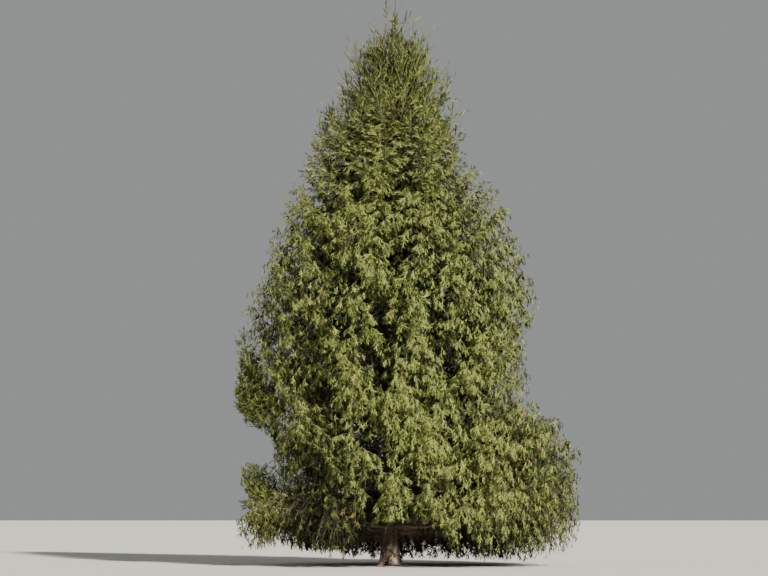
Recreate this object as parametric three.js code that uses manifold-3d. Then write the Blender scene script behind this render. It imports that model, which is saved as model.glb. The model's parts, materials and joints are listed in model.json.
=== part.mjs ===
// A tall garden spruce: one straight trunk with a root flare, low main boughs, and masses of
// needle sprays set round the trunk in tiers. Millimetres, +Z up, +X to the viewer's right and
// the viewer on the -Y side. The origin is the middle of the flat cut under the trunk.
import * as THREE from "three";
import { mergeVertices } from "three/addons/utils/BufferGeometryUtils.js";
import Module from "manifold-3d";

const wasm = await Module();
wasm.setup();

// Whole tree
const TREE_HEIGHT = 16900;
const TOP_LEAN = 170;
const TRUNK_BOW = 45;
const CLEARANCE = 0.3;
const MERGING = 1e-3;

// Trunk and root flare
const TRUNK_RADIUS = 275;
const TRUNK_TAPER = 0.93;
const LEADER_RADIUS = 5;
const FLARE_SPREAD = 95;
const FLARE_HEIGHT = 230;
const FLARE_ROOTS = 5;
const FLARE_FLUTE = 0.17;
const TRUNK_SIDES = 12;
const TRUNK_RINGS = 17;
const RING_CROWDING = 1.7;

// Limbs and twigs
const BOUGH_RADIUS = 46;
const BOUGH_END_RADIUS = 30;
const BOUGH_SHARE = 0.36;
const STEM_END_RADIUS = 9;
const STEM_SHARE = 0.86;
const TWIG_RADIUS = 30;
const TWIG_KNEE = 0.12;
const TRUNK_SOCKET = 0.5;
const LIMB_OVERRUN = 1.12;
const LIMB_STEPS = 6;
const LIMB_SHARE_STEP = 0.002;
const THINNEST_STEM = 0.3;

// Facets: sides round and rings along
const BOUGH_FACETS = [5, 3];
const STEM_FACETS = [3, 4];
const CORE_FACETS = [8, 4];
const RISER_FACETS = [6, 4];
const TWIG_FACETS = [3, 2];
const POLE = 0.01;
const SETTLING_STEPS = 24;

// Needle sprays: a toothed blade, as [share of length, share of width] down one edge
const BLADE_EDGE = [
  [0.38, 0.5],
  [0.47, 0.24],
];
const BLADE_ROOT = -0.22;
const BLADE_MIDDLE = 0.3;
const BLADE_LENGTH = 1450;
const BLADE_WIDTH = 0.48;
const BLADE_THICKNESS = 0.09;
const BLADE_SPREAD = 0.22;
const SHORTEST_BLADE = 0.3;
const BLADE_SHORTENING = 0.94;

// How the sprays of a mass are set out. FULL_SPRAY_REACH: limbs this long carry sprays of full size.
const FULL_SPRAY_REACH = 3800;
const SPRAY_SHRINK = 0.5;
const SPRAY_SUNK = 0.01;
const SPRAY_FAN = 0.8;
const SPRAY_ACROSS = 0.86;
const SPRAY_UP = 0.88;
const SPRAY_STAGGER = 0.3;
const SPRAY_JITTER = 0.35;
const HEADING_JITTER = 0.3;
const FIRST_TWIG = 0.1;
const LAST_TWIG = 0.82;
const LAST_TWIG_BEFORE_RISER = 0.55;

// The crown's outline: its radius up to the belly, and how it closes from there to the top
const CROWN_RADIUS = 4660;
const CROWN_BELLY = 3000;
const CROWN_CURVE = 1.85;
const CROWN_RAGGED = 0.05;

// The low limbs on the right reach further out than the rest
const RIGHT_SPREAD = 1120;
const RIGHT_AZIMUTH = -0.1;
const RIGHT_TOP = 4600;
const RIGHT_FADE = 350;

// The hollow in the crown's left side, between the two limbs whose ends turn up there
const HOLLOW_DEPTH = 1250;
const HOLLOW_BOTTOM = 1850;
const HOLLOW_TOP = 3950;
const HOLLOW_SLOPE = 350;

// The space of each limb end that turns straight up, by tier: from base to top, and from an inner
// side that leans out with height to its reach. gap: the air between it and the crown.
const RISERS = {
  skirt: { base: 1500, top: 2930, baseInner: 2700, topInner: 3600, reach: 4480, gap: 120, leader: 350 },
  low: { base: 3950, top: 6720, baseInner: 2900, topInner: 4180, reach: 4500, gap: 220, leader: 650 },
};
const RISER_HALF_ANGLE = 0.2;
const RISER_FULLNESS = 0.42;
const RISER_BELLY = 1.4;
const RISER_WHORLS = 4;
const RISER_ROOT = 0.1;
const RISER_TWIGS = [0.25, 0.85];
const RISER_TWIG_REACH = 150;
const RISER_RISE = 0.5;
const RISER_SPRAYS = [0.7, 0.4];

// The dense core of a mass, as shares of its own space
const CORE_FILL_ACROSS = 0.92;
const CORE_FILL_UP = 0.96;
const CORE_MOST = 0.8;
const CORE_LEAST = 0.6;
const CORE_CROWNING = 0.05;
const CORE_IN = 0.06;
const CORE_SQUARENESS = 0.55;

// Space between neighbouring masses, the room kept round the trunk, and the air over the ground
const MASS_GAP = 20;
const TRUNK_ROOM = 14;
const TRUNK_ROOM_SHARE = 0.3;
const LEFT_FACING = 0.5;
const GROUND_AIR = 90;
const HANGING_SHARE = 0.66;

// The low arch in the skirt that shows the trunk's foot from the viewer's side
const ARCH_HEIGHT = 1150;
const ARCH_HALF_ANGLE = 0.33;
const LEFT_HEM_RISE = 380;
const FRONT = -Math.PI / 2;

// Tiers from the ground up. rootZ: height of the limbs at the trunk. slope: rise per run there, and
// lift: how much the outer end turns up. turn: azimuth of the first limb, in turns. boughs: whether a
// bare bough shows before the needles start.
const TIERS = [
  { name: "skirt", count: 7, rootZ: 1100, slope: 0.02, lift: 0.05, turn: 0.528, boughs: true },
  { name: "low", count: 7, rootZ: 3050, slope: -0.05, lift: 0.28, turn: 0.5, boughs: true },
  { name: "lower_middle", count: 6, rootZ: 4650, slope: 0.05, lift: 0.32, turn: 0.19 },
  { name: "middle", count: 6, rootZ: 6450, slope: 0.15, lift: 0.35, turn: 0.06 },
  { name: "upper_middle", count: 5, rootZ: 8350, slope: 0.3, lift: 0.35, turn: 0 },
  { name: "upper", count: 4, rootZ: 10250, slope: 0.5, lift: 0.35, turn: 0.06 },
  { name: "high", count: 4, rootZ: 12150, slope: 0.7, lift: 0.35, turn: 0.19 },
  { name: "crest", count: 3, rootZ: 13850, slope: 1, lift: 0.35, turn: 0.02 },
  { name: "tip", count: 3, rootZ: 15150, slope: 1.5, lift: 0.3, turn: 0.2 },
];

// The sprays of each mass of a tier. pitch: their rise per run. rows and columns: up and across.
const SPRAYS = {
  skirt: { pitch: -1.5, rows: 4, columns: 3 },
  low: { pitch: -1.4, rows: 4, columns: 3 },
  lower_middle: { pitch: -1.3, rows: 4, columns: 3 },
  middle: { pitch: -1.2, rows: 4, columns: 3 },
  upper_middle: { pitch: -1, rows: 3, columns: 3 },
  upper: { pitch: -0.7, rows: 4, columns: 3 },
  high: { pitch: -0.4, rows: 4, columns: 3 },
  crest: { pitch: 0.1, rows: 4, columns: 2 },
  tip: { pitch: 1, rows: 2, columns: 2 },
};

const BARK = new THREE.MeshStandardMaterial({ color: 0x6a5c4e, roughness: 0.95, metalness: 0 });
const LIMB_BARK = new THREE.MeshStandardMaterial({ color: 0x5b4a3a, roughness: 0.95, metalness: 0 });
const NEEDLES = new THREE.MeshStandardMaterial({ color: 0x5d6a34, roughness: 0.8, metalness: 0 });

/** A repeatable stream of numbers from 0 to 1. */
function seeded(seed) {
  let state = seed >>> 0;
  return () => {
    state = (state + 0x6d2b79f5) >>> 0;
    let n = Math.imul(state ^ (state >>> 15), state | 1);
    n ^= n + Math.imul(n ^ (n >>> 7), n | 61);
    return ((n ^ (n >>> 14)) >>> 0) / 4294967296;
  };
}

/** A geometry with only its merged positions, as a solid facing out. */
function solidOf(geometry) {
  const bare = new THREE.BufferGeometry().setAttribute("position", geometry.getAttribute("position"));
  bare.setIndex(geometry.index);
  const merged = mergeVertices(bare, MERGING);
  const mesh = new wasm.Mesh({
    numProp: 3,
    vertProperties: new Float32Array(merged.attributes.position.array),
    triVerts: new Uint32Array(merged.index.array),
  });
  const solid = new wasm.Manifold(mesh);
  if (solid.volume() >= 0) {
    return solid;
  }
  const corners = mesh.triVerts;
  for (let i = 0; i < corners.length; i += 3) {
    [corners[i + 1], corners[i + 2]] = [corners[i + 2], corners[i + 1]];
  }
  return new wasm.Manifold(mesh);
}

/** The largest body of a solid, with scraps dropped and sealed hollows filled. */
function mainBody(solid) {
  return solid.decompose().reduce((best, body) => (body.volume() > best.volume() ? body : best));
}

/** A named mesh of a solid. */
function meshOf(name, solid, material) {
  const { numProp, numVert, vertProperties, triVerts } = solid.getMesh();
  const position = new Float32Array(numVert * 3);
  for (let i = 0; i < numVert; i += 1) {
    position.set(vertProperties.subarray(i * numProp, i * numProp + 3), i * 3);
  }
  const geometry = new THREE.BufferGeometry()
    .setAttribute("position", new THREE.BufferAttribute(position, 3))
    .setIndex(new THREE.BufferAttribute(triVerts, 1));
  geometry.computeVertexNormals();
  const mesh = new THREE.Mesh(geometry, material);
  mesh.name = name;
  return mesh;
}

/** Moves each vertex of a unit cylinder to place(height share, angle, rim share). */
function shapedCylinder(sides, rings, place) {
  const geometry = new THREE.CylinderGeometry(1, 1, 1, sides, rings);
  const position = geometry.getAttribute("position");
  for (let i = 0; i < position.count; i += 1) {
    const [x, y, z] = [position.getX(i), position.getY(i), position.getZ(i)];
    const point = place(y + 0.5, Math.atan2(z, x), Math.round(Math.hypot(x, z)));
    position.setXYZ(i, point.x, point.y, point.z);
  }
  return geometry;
}

/** Moves each vertex of a unit ball, poles along its Y axis, to place(x, y, z). */
function shapedBall(sides, rings, place) {
  const geometry = new THREE.SphereGeometry(1, sides, rings);
  const position = geometry.getAttribute("position");
  for (let i = 0; i < position.count; i += 1) {
    const point = place(position.getX(i), position.getY(i), position.getZ(i));
    position.setXYZ(i, point.x, point.y, point.z);
  }
  return geometry;
}

/** The middle of the trunk at a height. */
function trunkAxis(z) {
  const share = THREE.MathUtils.clamp(z / TREE_HEIGHT, 0, 1);
  return new THREE.Vector3(TOP_LEAN * share, TRUNK_BOW * Math.sin(Math.PI * share), z);
}

/** The trunk's radius at a height and angle, with the fluted root flare. */
function trunkRadius(z, angle) {
  const share = THREE.MathUtils.clamp(1 - z / TREE_HEIGHT, 0, 1);
  const flare = Math.exp(-z / FLARE_HEIGHT);
  const flute = 1 + FLARE_FLUTE * flare * Math.cos(FLARE_ROOTS * angle);
  return Math.max(LEADER_RADIUS, TRUNK_RADIUS * share ** TRUNK_TAPER + FLARE_SPREAD * flare) * flute;
}

/** The whole trunk from its ground cut to its tip, grown outward by a margin. */
function trunkSolid(margin) {
  return solidOf(
    shapedCylinder(TRUNK_SIDES, TRUNK_RINGS, (share, angle, rim) => {
      const z = TREE_HEIGHT * share ** RING_CROWDING;
      const radius = rim * (trunkRadius(z, angle) + margin);
      return trunkAxis(z).add(new THREE.Vector3(radius * Math.cos(angle), radius * Math.sin(angle), 0));
    }),
  );
}

/** The share from 0 to 1 that a value has come from one limit to another. */
function shareBetween(value, from, to) {
  return THREE.MathUtils.clamp((value - from) / (to - from), 0, 1);
}

/** How far an azimuth is from another, the short way round. */
function turnFrom(azimuth, other) {
  return Math.atan2(Math.sin(azimuth - other), Math.cos(azimuth - other));
}

/** How far the even crown goes from the trunk at a height and azimuth. */
function crownReach(z, azimuth) {
  const even = CROWN_RADIUS * (1 - shareBetween(z, CROWN_BELLY, TREE_HEIGHT) ** CROWN_CURVE);
  const toRight = Math.max(0, Math.cos(azimuth - RIGHT_AZIMUTH)) ** 3;
  const low = 1 - shareBetween(z, RIGHT_TOP - RIGHT_FADE, RIGHT_TOP);
  const toLeft = Math.max(0, -Math.cos(azimuth)) ** 2;
  const hollow =
    shareBetween(z, HOLLOW_BOTTOM, HOLLOW_BOTTOM + HOLLOW_SLOPE) *
    (1 - shareBetween(z, HOLLOW_TOP - HOLLOW_SLOPE, HOLLOW_TOP));
  return even + RIGHT_SPREAD * toRight * low - HOLLOW_DEPTH * toLeft * hollow;
}

/** The height of a tier's limbs at a distance from the trunk's middle. */
function limbHeight(tier, distance) {
  const share = Math.min(distance / tier.reach, LIMB_OVERRUN);
  return tier.rootZ + tier.reach * (tier.slope * share + tier.lift * share ** 3);
}

/** The distance at which a tier's limbs meet the even crown's outline. */
function tierReach(tier) {
  let reach = CROWN_RADIUS;
  for (let i = 0; i < SETTLING_STEPS; i += 1) {
    const tipZ = tier.rootZ + reach * (tier.slope + tier.lift);
    reach = THREE.MathUtils.lerp(reach, crownReach(tipZ, FRONT), 0.5);
  }
  return reach;
}

/** How low the skirt hangs at an azimuth: near the ground, but for the arch in front and the left. */
function skirtHem(azimuth) {
  const arch = ARCH_HEIGHT * Math.exp(-((turnFrom(azimuth, FRONT) / ARCH_HALF_ANGLE) ** 4));
  return GROUND_AIR + Math.max(arch, LEFT_HEM_RISE * Math.max(0, -Math.cos(azimuth)) ** 2);
}

/** The azimuth of a tier's first limb. */
function firstAzimuth(tier) {
  return 2 * Math.PI * tier.turn;
}

/** How far from the trunk an upturned end's space starts, at a height. */
function riserInner(riser, z) {
  return THREE.MathUtils.lerp(riser.baseInner, riser.topInner, shareBetween(z, riser.base, riser.top));
}

/** Whether a point lies in the space of a tier's upturned limb end, grown by a margin. */
function inRiser(tier, { azimuth, distance }, z, margin) {
  const riser = RISERS[tier.name];
  return (
    riser !== undefined &&
    z > riser.base - margin &&
    z < riser.top + margin &&
    distance > riserInner(riser, z) - margin &&
    distance < riser.reach + margin &&
    Math.abs(turnFrom(azimuth, firstAzimuth(tier))) < RISER_HALF_ANGLE + margin / distance
  );
}

/** The surface over a tier at a distance from the trunk. */
function ceilingOf(level, distance) {
  if (level === TIERS.length - 1) {
    return TREE_HEIGHT - GROUND_AIR;
  }
  return THREE.MathUtils.lerp(
    limbHeight(TIERS[level], distance),
    limbHeight(TIERS[level + 1], distance),
    1 - HANGING_SHARE,
  );
}

/** The surface under a tier at an azimuth and distance from the trunk. */
function floorOf(level, azimuth, distance) {
  return level === 0 ? skirtHem(azimuth) : ceilingOf(level - 1, distance);
}

/** Where a limb stands and how far it goes, from which its own space is worked out. */
function limbPlan(level, index) {
  const tier = TIERS[level];
  const azimuth = firstAzimuth(tier) + (2 * Math.PI * index) / tier.count;
  const random = seeded(1000 * level + index + 7);
  const ragged = 1 - CROWN_RAGGED * random();
  const reach = crownReach(limbHeight(tier, tier.reach), azimuth) * ragged;
  const riser = index === 0 ? RISERS[tier.name] : undefined;
  return { level, index, tier, azimuth, random, ragged, reach, riser, half: Math.PI / tier.count, inner: 0 };
}

/** How far a limb's own space goes at a height and azimuth. */
function edgeOf(plan, z, azimuth) {
  const edge = crownReach(z, azimuth) * plan.ragged;
  const leftward = -Math.cos(azimuth);
  const riser = RISERS.low;
  return plan.level > 1 && z < riser.top && leftward > LEFT_FACING
    ? Math.min(edge, (riserInner(riser, z) - riser.gap) / leftward)
    : edge;
}

/** The azimuth and distance of a point, seen from the trunk's middle at its height. */
function polarOf(point) {
  const axis = trunkAxis(point.z);
  const [x, y] = [point.x - axis.x, point.y - axis.y];
  return { azimuth: Math.atan2(y, x), distance: Math.hypot(x, y) };
}

/** The point at an azimuth, distance and height. */
function pointAt(azimuth, distance, z) {
  return trunkAxis(z).add(new THREE.Vector3(distance * Math.cos(azimuth), distance * Math.sin(azimuth), 0));
}

/** How close to the trunk's middle a mass may come at a height. */
function innerOf(plan, z) {
  const room = TRUNK_ROOM + (1 + TRUNK_ROOM_SHARE) * trunkRadius(z, 0);
  return Math.max(plan.inner, room);
}

/** Whether a point lies in the space that a limb's mass keeps to. */
function inSpace(plan, point) {
  const polar = polarOf(point);
  const { azimuth, distance } = polar;
  if (plan.riser && inRiser(plan.tier, polar, point.z, -CLEARANCE)) {
    return true;
  }
  if (TIERS.some((tier) => (tier !== plan.tier || !plan.riser) && inRiser(tier, polar, point.z, MASS_GAP))) {
    return false;
  }
  const off = Math.abs(turnFrom(azimuth, plan.azimuth));
  const sideRoom = off < plan.half ? distance * Math.sin(plan.half - off) : 0;
  return (
    distance > innerOf(plan, point.z) &&
    distance < edgeOf(plan, point.z, azimuth) &&
    sideRoom > MASS_GAP &&
    point.z > floorOf(plan.level, azimuth, distance) + MASS_GAP &&
    point.z < ceilingOf(plan.level, distance) - MASS_GAP
  );
}

/** A point of a limb's own space: across its sector and up its layer from -1 to 1, and out from 0 to 1. */
function placeIn(plan, across, up, out) {
  const azimuth = plan.azimuth + plan.half * across;
  let distance = plan.reach * out;
  let z = 0;
  for (let i = 0; i < SETTLING_STEPS; i += 1) {
    const floor = floorOf(plan.level, azimuth, distance) + MASS_GAP;
    const ceiling = ceilingOf(plan.level, distance) - MASS_GAP;
    z = THREE.MathUtils.lerp(floor, ceiling, 0.5 + 0.5 * up);
    const inner = innerOf(plan, z);
    const aim = THREE.MathUtils.lerp(inner, edgeOf(plan, z, azimuth), out);
    distance = THREE.MathUtils.lerp(distance, aim, 0.5);
  }
  return pointAt(azimuth, distance, z);
}

/** The middle of an upturned limb end at a height. */
function riserMiddle(plan, z) {
  return pointAt(plan.azimuth, (riserInner(plan.riser, z) + plan.riser.reach) / 2, z);
}

/** The middle line of a limb, from the trunk's middle to its tip, as a curve. */
function limbCurve(plan) {
  const { riser, reach, tier, azimuth } = plan;
  const points = [];
  const last = riser ? LIMB_STEPS / 2 : LIMB_STEPS;
  for (let i = 0; i <= last; i += 1) {
    const distance = (reach * i) / LIMB_STEPS;
    points.push(pointAt(azimuth, distance, limbHeight(tier, distance * (tier.reach / reach))));
  }
  if (riser) {
    points.push(riserMiddle(plan, THREE.MathUtils.lerp(riser.base, riser.top, RISER_ROOT)));
    points.push(riserMiddle(plan, riser.top - riser.leader));
  }
  return new THREE.CatmullRomCurve3(points, false, "centripetal");
}

/** A tapering limb along a stretch of a curve. */
function limbSolid(curve, [from, to], [startRadius, endRadius], [sides, rings]) {
  const up = new THREE.Vector3(0, 0, 1);
  return solidOf(
    shapedCylinder(sides, rings, (share, angle, rim) => {
      const at = from + (to - from) * share;
      const along = curve.getTangent(at);
      const across = new THREE.Vector3().crossVectors(along, up).normalize();
      const over = new THREE.Vector3().crossVectors(across, along);
      const radius = rim * THREE.MathUtils.lerp(startRadius, endRadius, share);
      return curve
        .getPoint(at)
        .addScaledVector(across, radius * Math.cos(angle))
        .addScaledVector(over, radius * Math.sin(angle));
    }),
  );
}

/** A three-sided straight twig, thickest just past its root and pointed at both ends. */
function twigSolid(start, end, radius) {
  const along = end.clone().sub(start);
  const across = new THREE.Vector3().crossVectors(along, new THREE.Vector3(0, 0, 1)).normalize();
  const over = new THREE.Vector3().crossVectors(across, along).normalize();
  return solidOf(
    shapedBall(...TWIG_FACETS, (x, y, z) => {
      const share = Math.abs(y) < 0.5 ? TWIG_KNEE : Number(y > 0);
      return start
        .clone()
        .addScaledVector(along, share)
        .addScaledVector(across, radius * x)
        .addScaledVector(over, radius * z);
    }),
  );
}

/** A toothed blade that stands for a spray of needles, or null where it would leave the space. */
function spraySolid(root, along, flat, length, allowed) {
  const direction = along.clone().normalize();
  const width = new THREE.Vector3().crossVectors(direction, flat).normalize();
  const thick = new THREE.Vector3().crossVectors(width, direction);
  const far = BLADE_EDGE.map(([share, across]) => [share, -across]).reverse();
  const edge = [[BLADE_ROOT, 0], ...BLADE_EDGE, [1, 0], ...far];
  const corner = (share, across, over) =>
    root
      .clone()
      .addScaledVector(direction, share * length)
      .addScaledVector(width, across * length * BLADE_WIDTH)
      .addScaledVector(thick, over * length * BLADE_THICKNESS * 0.5);
  if (!edge.every(([share, across]) => share < 0 || allowed(corner(share, across, 0)))) {
    return null;
  }
  return solidOf(
    shapedBall(edge.length, 2, (x, y, z) => {
      if (Math.abs(y) > 0.5) {
        return corner(BLADE_MIDDLE, 0, Math.sign(y));
      }
      const step = Math.round((Math.atan2(z, -x) / (2 * Math.PI)) * edge.length);
      const [share, across] = edge[(step + edge.length) % edge.length];
      return corner(share, across, 0);
    }),
  );
}

/** How far out the dense core of a tier's masses goes, as a share of their space. */
function coreShare(tier) {
  return THREE.MathUtils.lerp(CORE_LEAST, CORE_MOST, shareBetween(tier.reach, 0, CROWN_RADIUS));
}

/** The smaller dense core of a mass, which follows the shape of the mass's own space. */
function coreSolid(plan) {
  const shoulder = coreShare(plan.tier);
  return solidOf(
    shapedBall(...CORE_FACETS, (x, y, z) => {
      const ring = Math.hypot(x, z);
      if (ring < POLE) {
        return placeIn(plan, 0, 0, y > 0 ? shoulder + CORE_CROWNING : CORE_IN);
      }
      const square = (value) => Math.sign(value) * Math.abs(value / ring) ** CORE_SQUARENESS;
      const out = (1 + y) * 0.5 * shoulder;
      return placeIn(plan, CORE_FILL_ACROSS * square(x), CORE_FILL_UP * square(z), out);
    }),
  );
}

/** The share of a curve at which its distance from the trunk's middle reaches a length. */
function shareAt(curve, length) {
  let share = 0;
  while (share < 1 && polarOf(curve.getPoint(share)).distance < length) {
    share += LIMB_SHARE_STEP;
  }
  return share;
}

/** A twig from a stem and the spray at its end, the spray made shorter until it fits. */
function shootSolids(stem, target, heading, flat, size, plan) {
  const allowed = (point) => inSpace(plan, point);
  const length = BLADE_LENGTH * size * (1 - BLADE_SPREAD + 2 * BLADE_SPREAD * plan.random());
  for (let shorter = 1; shorter > SHORTEST_BLADE; shorter *= BLADE_SHORTENING) {
    const spray = spraySolid(target, heading, flat, length * shorter, allowed);
    if (spray) {
      return [twigSolid(stem, target, TWIG_RADIUS * size), spray];
    }
  }
  return [];
}

/** The end of a limb that turns straight up: a core that narrows to a leader, and sprays round it. */
function riserSolids(plan) {
  const { riser, random, azimuth } = plan;
  const { lerp } = THREE.MathUtils;
  const outward = new THREE.Vector3(Math.cos(azimuth), Math.sin(azimuth), 0);
  const side = new THREE.Vector3(-outward.y, outward.x, 0);
  const crest = riser.top - riser.leader;
  const core = shapedBall(...RISER_FACETS, (x, y, z) => {
    const height = lerp(riser.base, crest, ((1 + y) / 2) ** RISER_BELLY);
    const room = (riser.reach - riserInner(riser, height)) * RISER_FULLNESS;
    return riserMiddle(plan, height).addScaledVector(outward, room * x).addScaledVector(side, room * z);
  });
  const leader = [riserMiddle(plan, crest - riser.leader), riserMiddle(plan, riser.top - CLEARANCE)];
  const pieces = [solidOf(core), twigSolid(...leader, TWIG_RADIUS)];
  for (let i = 0; i < RISER_WHORLS; i += 1) {
    const share = (i + 0.5) / RISER_WHORLS;
    const root = riserMiddle(plan, lerp(riser.base, riser.top, lerp(...RISER_TWIGS, share)));
    for (const hand of [-1, 1]) {
      const heading = side.clone().multiplyScalar(hand).addScaledVector(outward, 2 * random() - 0.6);
      heading.z = RISER_RISE;
      const target = root.clone().addScaledVector(heading, RISER_TWIG_REACH * (1 - share));
      pieces.push(...shootSolids(root, target, heading, outward, lerp(...RISER_SPRAYS, share), plan));
    }
  }
  return pieces;
}

/** Every twig and spray of one mass, fused to its stem and core. */
function massSolid(plan, curve, start, stemRadius) {
  const { tier, random } = plan;
  const { pitch, rows, columns } = SPRAYS[tier.name];
  const size = Math.min(1, tier.reach / FULL_SPRAY_REACH) ** SPRAY_SHRINK;
  const stem = limbSolid(curve, [start, STEM_SHARE], [stemRadius, STEM_END_RADIUS], STEM_FACETS);
  const lastTwig = plan.riser ? LAST_TWIG_BEFORE_RISER : LAST_TWIG;
  const jitter = (size) => size * (random() - 0.5);
  const pieces = [stem, coreSolid(plan)];
  for (let row = 0; row < rows; row += 1) {
    for (let column = 0; column < columns; column += 1) {
      const stagger = row % 2 === 0 ? SPRAY_STAGGER : -SPRAY_STAGGER;
      const across = (2 * (column + 0.5 + jitter(SPRAY_JITTER)) + stagger) / columns - 1;
      const up = (2 * (row + 0.5 + jitter(SPRAY_JITTER))) / rows - 1;
      const target = placeIn(plan, across * SPRAY_ACROSS, up * SPRAY_UP, coreShare(tier) - SPRAY_SUNK);
      const { azimuth } = polarOf(target);
      const outward = new THREE.Vector3(Math.cos(azimuth), Math.sin(azimuth), 0);
      const turn = new THREE.Vector3(jitter(HEADING_JITTER), jitter(HEADING_JITTER), pitch + SPRAY_FAN * up);
      const root = curve.getPoint(THREE.MathUtils.lerp(start + FIRST_TWIG, lastTwig, random()));
      pieces.push(...shootSolids(root, target, outward.clone().add(turn), outward, size, plan));
    }
  }
  if (plan.riser) {
    pieces.push(...riserSolids(plan));
  }
  return wasm.Manifold.union(pieces);
}

/** Adds a mass whose stem springs from the trunk, with no bough showing. */
function addTrunkMass(tree, plan, curve, socket, trunkClear) {
  const stemRadius = BOUGH_END_RADIUS * Math.max(THINNEST_STEM, plan.tier.reach / CROWN_RADIUS);
  const mass = massSolid(plan, curve, socket, stemRadius);
  tree.add(meshOf(`mass_${labelOf(plan)}`, mainBody(mass.subtract(trunkClear)), NEEDLES));
}

/** Adds a bare bough from the trunk, and the mass that starts at its tip. */
function addBoughAndMass(tree, plan, curve, socket, trunkClear) {
  plan.inner = plan.reach * BOUGH_SHARE;
  const end = shareAt(curve, plan.inner);
  const bough = limbSolid(curve, [socket, end], [BOUGH_RADIUS, BOUGH_END_RADIUS], BOUGH_FACETS);
  tree.add(meshOf(`bough_${labelOf(plan)}`, mainBody(bough.subtract(trunkClear)), LIMB_BARK));
  const mass = massSolid(plan, curve, end + CLEARANCE / curve.getLength(), BOUGH_END_RADIUS);
  tree.add(meshOf(`mass_${labelOf(plan)}`, mainBody(mass), NEEDLES));
}

/** A limb's tier and number. */
function labelOf(plan) {
  return `${plan.tier.name}_${plan.index + 1}`;
}

/** Adds one limb's bough, where it has one, and its mass to the tree. */
function addLimb(tree, plan, trunkClear) {
  const curve = limbCurve(plan);
  const socket = shareAt(curve, trunkRadius(plan.tier.rootZ, 0) * TRUNK_SOCKET);
  const add = plan.tier.boughs ? addBoughAndMass : addTrunkMass;
  add(tree, plan, curve, socket, trunkClear);
}

/** The whole tree. */
function makeTree() {
  const tree = new THREE.Group();
  TIERS.forEach((tier) => {
    tier.reach = tierReach(tier);
  });
  tree.add(meshOf("trunk", trunkSolid(0), BARK));
  const trunkClear = trunkSolid(CLEARANCE);
  TIERS.forEach((tier, level) => {
    for (let index = 0; index < tier.count; index += 1) {
      addLimb(tree, limbPlan(level, index), trunkClear);
    }
  });
  return tree;
}

export default makeTree();
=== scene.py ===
"""Looks of a tall garden spruce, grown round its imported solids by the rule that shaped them.

Metres, +Z up, +X to the viewer's right and the viewer on the -Y side. The trunk and its limbs have
bark relief. Branchlets and hanging sprays of needles grow on from the limbs, in the same tiers and
under the same crown outline as the solids, and are carried to finer twigs.
"""

import json
import logging
import math
from dataclasses import dataclass, field
from enum import Enum
from typing import Any, NamedTuple

import bpy
import numpy as np
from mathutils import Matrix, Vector

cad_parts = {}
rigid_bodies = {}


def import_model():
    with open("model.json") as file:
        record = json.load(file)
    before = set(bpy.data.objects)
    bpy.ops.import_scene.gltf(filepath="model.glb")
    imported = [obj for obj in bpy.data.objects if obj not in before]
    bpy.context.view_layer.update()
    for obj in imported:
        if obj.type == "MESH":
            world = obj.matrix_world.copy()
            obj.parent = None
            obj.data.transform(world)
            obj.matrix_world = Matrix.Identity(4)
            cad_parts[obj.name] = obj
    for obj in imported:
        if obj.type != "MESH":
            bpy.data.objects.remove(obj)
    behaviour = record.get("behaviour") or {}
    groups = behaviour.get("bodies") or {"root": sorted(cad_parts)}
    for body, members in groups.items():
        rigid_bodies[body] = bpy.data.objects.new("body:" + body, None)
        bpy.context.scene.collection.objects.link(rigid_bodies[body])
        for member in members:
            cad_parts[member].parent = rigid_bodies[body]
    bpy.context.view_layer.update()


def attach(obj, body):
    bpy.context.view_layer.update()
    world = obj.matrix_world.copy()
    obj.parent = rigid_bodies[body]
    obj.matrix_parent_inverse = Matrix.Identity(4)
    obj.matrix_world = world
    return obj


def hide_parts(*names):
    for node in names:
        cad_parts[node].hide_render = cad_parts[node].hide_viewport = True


LOG = logging.getLogger("spruce")
RIGHT = np.array([1.0, 0.0, 0.0])
UP = np.array([0.0, 0.0, 1.0])
FULL_TURN = 2.0 * math.pi
GOLDEN_TURN = math.pi * (3.0 - math.sqrt(5.0))
FRONT = -math.pi / 2.0
SETTLING_STEPS = 24
PATCH_FADE = (0.5, 1.1)
TINY = 1e-9
MM_PER_METRE = 1000.0
BARE_TIERS = 2
LEAST_BARE_SHARE = 0.1
SCATTER = (127.1, 311.7, 74.7, 43758.5453)
MIX_LOW, MIX_HIGH, MIX_RESULT = 6, 7, 2
COMPARE_FIRST, COMPARE_SECOND = 2, 3
Span = tuple[float, float]


def unit(vectors: np.ndarray) -> np.ndarray:
    """Scales vectors to length one."""
    return vectors / np.maximum(np.linalg.norm(vectors, axis=-1, keepdims=True), TINY)


def share_between(value: Any, low: float, high: float) -> Any:
    """Gives how far a value has come from low to high, as a share from zero to one."""
    return np.clip((value - low) / (high - low), 0.0, 1.0)


def blend(low: Any, high: Any, share: Any) -> Any:
    """Gives the value at a share of the way from low to high."""
    return low + (high - low) * share


def turn_from(azimuth: Any, other: Any) -> Any:
    """Gives the turn from the other azimuth to this one, the short way round, in radians."""
    return np.arctan2(np.sin(azimuth - other), np.cos(azimuth - other))


def outward(azimuth: Any) -> np.ndarray:
    """Returns level directions of length one by their azimuths."""
    return np.stack([np.cos(azimuth), np.sin(azimuth), 0.0 * azimuth], -1)


def round_stem(roll: np.ndarray, across: np.ndarray, over: np.ndarray) -> np.ndarray:
    """Returns directions round a stem, by their turn from its left side towards the side over it."""
    return np.cos(roll)[:, None] * across + np.sin(roll)[:, None] * over


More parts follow.
